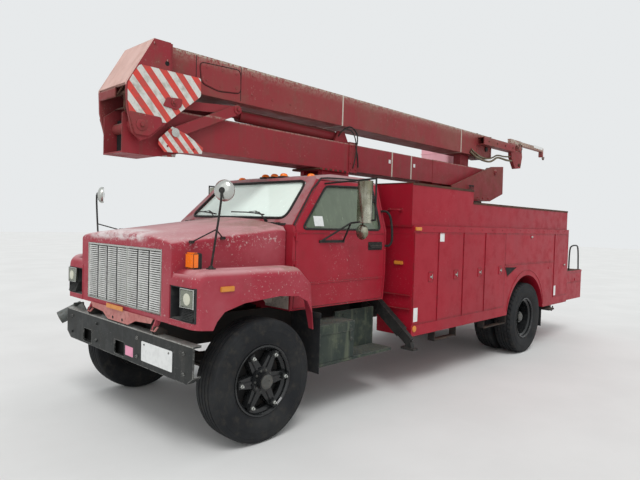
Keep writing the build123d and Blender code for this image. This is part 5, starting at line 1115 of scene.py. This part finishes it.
def rounded_hood():
    """The hood's solid again with its shoulders and the nose's upper edge rolled over."""
    bm = bmesh.new()
    bm.from_mesh(nodes["hood"].data)
    bmesh.ops.remove_doubles(bm, verts=bm.verts, dist=1e-5)
    bmesh.ops.dissolve_limit(bm, angle_limit=math.radians(0.5), verts=bm.verts, edges=bm.edges)
    nose_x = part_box("grille")[1].x + 0.004
    rear, front = (3.062, 0.878, 1.822), (nose_x, 0.84, 1.69)

    def on_shoulder(v):
        t = (v.co.x - rear[0]) / (front[0] - rear[0])
        y, z = (a + t * (b - a) for a, b in zip(rear[1:], front[1:]))
        return abs(abs(v.co.y) - y) < 0.003 and abs(v.co.z - z) < 0.003

    def on_lip(v):
        return abs(v.co.x - nose_x) < 0.003 and v.co.z > 1.686 and abs(v.co.y) < 0.846

    lip = [e for e in bm.edges if all(on_lip(v) for v in e.verts)]
    shoulder = [e for e in bm.edges if all(on_shoulder(v) for v in e.verts) and e not in lip]
    bmesh.ops.bevel(bm, geom=lip + shoulder, offset=0.042, segments=6, profile=0.5, affect="EDGES",
                    clamp_overlap=True)
    piece = Piece("hood_shell", hood_red, "hood", smooth=30)
    piece.take(bm)
    shell = piece.done()
    even = shell.modifiers.new("even", "WEIGHTED_NORMAL")
    even.keep_sharp = True
    even.weight = 100
    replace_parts(shell, "hood")


def upper_boom_details():
    """Hatch covers, seams and bands on the upper boom, its tip and the jib's fittings."""
    for name in both_sides():
        cover = Piece("hatch_" + name, upper_red, "upper_boom")
        hatch = rounded([(3.57, 3.352), (3.1, 3.376), (3.092, 3.155), (3.356, 3.128), (3.55, 3.168)], 0.05)
        cover.prism(hatch, "y", BOOM_Y - 0.001, BOOM_Y + 0.007, 0.0025)
        for x, z in ((3.15, 3.33), (3.32, 3.33), (3.5, 3.32), (3.15, 3.19), (3.34, 3.17), (3.5, 3.2)):
            cover.lathe([(0, 0), (0, 0.01), (0.003, 0.009), (0.0035, 0)], (x, BOOM_Y + 0.0065, z), OUT, 12)
        for x in (2.938, 2.666, 2.404):
            for z in (3.162, 3.365):
                cover.lathe([(-0.001, 0), (-0.001, 0.013), (0.003, 0.011), (0.004, 0)], (x, BOOM_Y, z), OUT,
                            12)
        seams = Piece("boom_seams_" + name, seam_and_shade_black, "upper_boom")
        seam = rounded([(3.578, 3.36), (3.094, 3.384), (3.085, 3.149), (3.356, 3.121), (3.557, 3.162)],
                       0.055)
        seams.tube([(x, BOOM_Y + 0.0005, z) for x, z in seam], 0.0035, 6, closed=True)
        for x in (3.087, 3.612):
            seams.box((x - 0.0035, BOOM_Y - 0.001, 3.078), (x + 0.0035, BOOM_Y + 0.001, 3.412), 0)
    bands = Piece("boom_bands_upper", white_band, "upper_boom")
    for x in (1.54, -1.29):
        bands.box((x - 0.011, -0.1812, 3.0588), (x + 0.011, 0.1812, 3.4262), 0.001)
    tip = Piece("boom_tip_collar", upper_red, "upper_boom")
    for x in (-2.282, -1.8):
        for y0, z0, y1, z1 in ((-0.186, 3.054, 0.186, 3.06), (-0.186, 3.425, 0.186, 3.431),
                               (0.18, 3.054, 0.186, 3.238), (-0.186, 3.054, -0.18, 3.431)):
            tip.box((x - 0.018, y0, z0), (x + 0.018, y1, z1), 0.001)
    # A black sheet inside the boom's open tip is painted shade.
    Piece("boom_tip_dark", seam_and_shade_black, "upper_boom").box((-2.2, -0.164, 3.076), (-2.19, 0.164, 3.409), 0)
    jib = Piece("jib_fittings", rust_brown, "upper_boom")
    jib_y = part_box("upper_boom")[1].y
    for x in (-2.85, -2.55, -2.25, -1.95):
        jib.bolt((x, jib_y - 0.001, 3.304), OUT)
    for x, z in around(8, -3.15, 3.33, 0.083):
        jib.bolt((x, 0.3175, z), OUT, 0.008)
    jib.lathe([(0, 0.062), (0, 0.072), (0.006, 0.072), (0.006, 0.062)], (-3.15, 0.3175, 3.33), OUT, 32)
    jib.tube([(-4.3, 0.29, 3.3), (-4.3, 0.29, 3.262), (-4.262, 0.29, 3.235), (-4.225, 0.29, 3.262),
              (-4.232, 0.29, 3.29)], 0.011, soften=2)
    jib.plug((-3.1, 0.318, 3.02), OUT, 0.028, 0.03, 20)
    Piece("jib_tag", blank_white, "upper_boom").box((-4.13, 0.3275, 3.412), (-3.72, 0.3285, 3.462), 0)
    winch = Piece("jib_winch", trim_black, "upper_boom", slot="frame_black")
    winch.lathe([(0, 0), (0, 0.075), (0.008, 0.075), (0.008, 0.045), (0.06, 0.045), (0.06, 0.075),
                 (0.068, 0.075), (0.068, 0)], (-3.28, 0.18, 3.16), OUT, 28)
    winch.plug((-3.28, 0.12, 3.16), OUT, 0.022, 0.07, 16)


def lower_boom_details():
    """Bands, tags, collar bolts and pipes on the lower boom and the elbow cylinder."""
    bands = Piece("boom_bands_lower", white_band, "lower_boom")
    for x in (0.51, 0.06):
        bands.box((x - 0.013, -0.1775, 2.5245), (x + 0.013, 0.1775, 2.8575), 0.001)
    tags = Piece("boom_tags", blank_white, "lower_boom")
    for x in (0.565, -0.015):
        tags.box((x - 0.022, 0.1755, 2.7), (x + 0.022, 0.1775, 2.748), 0)
    collar = Piece("collar_bolts", boom_red, "lower_boom")
    for _ in both_sides():
        for z in (2.545, 2.62, 2.76, 2.835):
            for x in (1.29, 1.38):
                collar.bolt((x, 0.1915, z), OUT, 0.009)
        collar.box((1.255, 0.15, 2.87), (1.415, 0.196, 2.88), 0.002)
        collar.disc((-2.244, 0.3075, 2.817), OUT, 0.04, 0.01)
        collar.bolt((-2.244, 0.3155, 2.817), OUT, 0.016)
    # A black sheet in the slot at the lower boom's head is painted shade.
    Piece("lower_head_slot", seam_and_shade_black, "lower_boom").box((4.2, -0.16, 2.452), (4.21, 0.16, 2.74), 0)
    pipes = Piece("boom_pipes", hose_black, "lower_boom")
    for y, z in ((-0.15, 2.868), (-0.128, 2.88)):
        pipes.tube([(-2.2, y, z), (0.3, y, z), (1.2, y, z + 0.002)], 0.008, 6)
    cylinder = Piece("elbow_cylinder_pipes", boom_red, "elbow_barrel")
    run = ((1.62, 2.985), (1.66, 3.014), (2.55, 3.006), (2.86, 3.003), (2.9, 2.965))
    for y in (0.02, -0.024):
        cylinder.tube([(x, y, z) for x, z in run], 0.0085, soften=1)
    for x in (1.85, 2.4):
        cylinder.box((x - 0.012, -0.04, 2.998), (x + 0.012, 0.036, 3.022))


def turret_details():
    """Slew ring with its teeth, turret bolts and the valve bank."""
    ring = Piece("slew_ring", frame_black)
    for x, y in around(24, SLEW_X, 0, 0.312):
        ring.bolt((x, y, 2.3165), UP, 0.0005)
    teeth, count = [], 80
    for k in range(count):
        for r, step in ((0.33, -0.2), (0.34, 0.1), (0.34, 0.4)):
            a = math.tau * (k + step) / count
            teeth.append((SLEW_X + r * math.cos(a), r * math.sin(a)))
    ring.prism(teeth, "z", 2.268, 2.3, 0)
    bolts = Piece("turret_bolts", boom_red, "turret")
    for _ in both_sides():
        for x in (-2.02, -1.84, -1.66, -1.48, -1.32):
            bolts.bolt((x, 0.2995, 2.36), OUT, 0.014)
    valve = Piece("turret_valves", trim_black, "turret", slot="frame_black")
    valve.box((-1.46, 0.302, 2.352), (-1.3, 0.34, 2.43), 0.006)
    for k in range(4):
        x = -1.44 + 0.04 * k
        valve.tube([(x, 0.322, 2.428), (x, 0.334, 2.47), (x, 0.338, 2.52)], 0.005)
        valve.lathe([(0, 0), (0, 0.01), (0.014, 0.012), (0.022, 0.008), (0.024, 0)], (x, 0.338, 2.518), UP,
                    12)


def bucket_details():
    """The bucket's rolled lip and the rib below it."""
    lo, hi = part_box("bucket")
    lip = Piece("bucket_lip", bucket_pink, "bucket")
    corners = rounded(quad(lo.x + 0.006, hi.x - 0.006, lo.y + 0.006, hi.y - 0.006), 0.05)
    lip.tube([(x, y, hi.z - 0.012) for x, y in corners], 0.013, closed=True)
    lip.tube([(x, y, hi.z - 0.34) for x, y in corners], 0.006, 6, closed=True)


def hose(name, body, material, diameter, points):
    """A free hydraulic hose: a smooth curve between two fittings on the same body."""
    curve = bpy.data.curves.new(name, "CURVE")
    curve.dimensions = "3D"
    spline = curve.splines.new("NURBS")
    spline.points.add(len(points) - 1)
    for point, place in zip(spline.points, points):
        point.co = (*place, 1.0)
    spline.order_u = 3
    spline.use_endpoint_u = True
    spline.resolution_u = 8
    curve.bevel_depth = diameter / 2
    curve.bevel_resolution = 3
    curve.materials.append(material)
    obj = bpy.data.objects.new(name, curve)
    bpy.context.scene.collection.objects.link(obj)
    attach(obj, body)
    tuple(points[0])


def hoses():
    """Two hoses on the lower boom's collar and two under the upper boom's tip."""
    hose("collar_hose_a", "lower_boom", hose_black, 0.016, (
        (1.5, 0.108, 2.985), (1.48, 0.17, 3.04), (1.42, 0.215, 3.07), (1.3, 0.216, 3.0),
        (1.285, 0.214, 2.88), (1.325, 0.212, 2.83), (1.26, 0.206, 2.7), (1.245, 0.196, 2.58)))
    hose("collar_hose_b", "lower_boom", hose_black, 0.014, (
        (1.53, 0.108, 2.94), (1.54, 0.17, 3.01), (1.45, 0.222, 3.03), (1.35, 0.222, 2.96), (1.3, 0.218, 2.8),
        (1.33, 0.212, 2.65), (1.345, 0.196, 2.56)))
    hose("tip_hose_a", "upper_boom", hose_tan, 0.034, (
        (-1.56, 0.19, 3.11), (-1.64, 0.206, 3.062), (-1.76, 0.214, 3.02), (-1.96, 0.218, 2.995),
        (-2.18, 0.22, 2.992), (-2.32, 0.222, 3.036), (-2.45, 0.222, 3.104), (-2.64, 0.226, 3.096),
        (-2.82, 0.24, 3.08), (-2.95, 0.25, 3.09)))
    hose("tip_hose_b", "upper_boom", hose_tan, 0.026, (
        (-1.6, 0.188, 3.15), (-1.72, 0.2, 3.09), (-1.9, 0.212, 3.045), (-2.1, 0.214, 3.035),
        (-2.3, 0.22, 3.078), (-2.45, 0.22, 3.146), (-2.74, 0.236, 3.134), (-2.9, 0.246, 3.16)))


def stage():
    """A pale floor, a sky that lights less than it shows, and two soft suns."""
    mesh = bpy.data.meshes.new("floor")
    reach = 60.0
    mesh.from_pydata([(x, y, 0) for x, y in quad(-reach, reach, -reach, reach)], [], [(0, 1, 2, 3)])
    s = Shade("floor")
    s.set(Base_Color=s.mix(s.cloud(0.8, 5.0, 0.55, 0.3, 0.7), (0.66, 0.66, 0.65), (0.7, 0.7, 0.69)),
          Roughness=0.9)
    mesh.materials.append(s.material)
    floor = bpy.data.objects.new("floor", mesh)
    bpy.context.scene.collection.objects.link(floor)
    world = bpy.data.worlds.new("studio")
    bpy.context.scene.world = world
    world.use_nodes = True
    tree = world.node_tree
    tree.nodes.clear()
    new = tree.nodes.new
    out, mix = new("ShaderNodeOutputWorld"), new("ShaderNodeMixShader")
    path, either, any_seen = new("ShaderNodeLightPath"), new("ShaderNodeMath"), new("ShaderNodeMath")
    lit, seen = new("ShaderNodeBackground"), new("ShaderNodeBackground")
    for sky, colour, strength in ((seen, (0.8, 0.82, 0.83, 1), 1.0), (lit, (0.97, 0.99, 1.0, 1), 0.78)):
        sky.inputs["Color"].default_value = colour
        sky.inputs["Strength"].default_value = strength
    either.operation = any_seen.operation = "MAXIMUM"
    for source, socket in ((path.outputs["Is Camera Ray"], either.inputs[0]),
                           (path.outputs["Is Glossy Ray"], either.inputs[1]),
                           (either.outputs[0], any_seen.inputs[0]),
                           (path.outputs["Is Transmission Ray"], any_seen.inputs[1]),
                           (any_seen.outputs[0], mix.inputs[0]), (lit.outputs[0], mix.inputs[1]),
                           (seen.outputs[0], mix.inputs[2]), (mix.outputs[0], out.inputs[0])):
        tree.links.new(source, socket)
    for direction, strength, spread in (((-0.35, -0.45, -0.85), 1.3, 25.0),
                                        ((-0.8, -0.3, -0.35), 0.35, 60.0)):
        data = bpy.data.lights.new("sun", "SUN")
        data.energy, data.angle = strength, math.radians(spread)
        sun = bpy.data.objects.new("sun", data)
        bpy.context.scene.collection.objects.link(sun)
        sun.rotation_mode = "QUATERNION"
        sun.rotation_quaternion = Vector(direction).to_track_quat("-Z", "Y")


place_camera()
stage()
paint_nodes()
for dress in (tyres, cab_details, cab_door_details, fender_mirrors, hood_details, compartment_doors,
              body_details, tail_details, step_details, bumper_details, wheel_details, rounded_hood,
              stowed_parts, elbow_skin, elbow_front_scraps, elbow_details, upper_boom_details,
              lower_boom_details, turret_details, bucket_details, hoses):
    dress()
    # Pieces that the function left open are finished here
    for piece in Piece.drawn[:]:
        piece.done()

bpy.context.scene.view_settings.view_transform = "Standard"
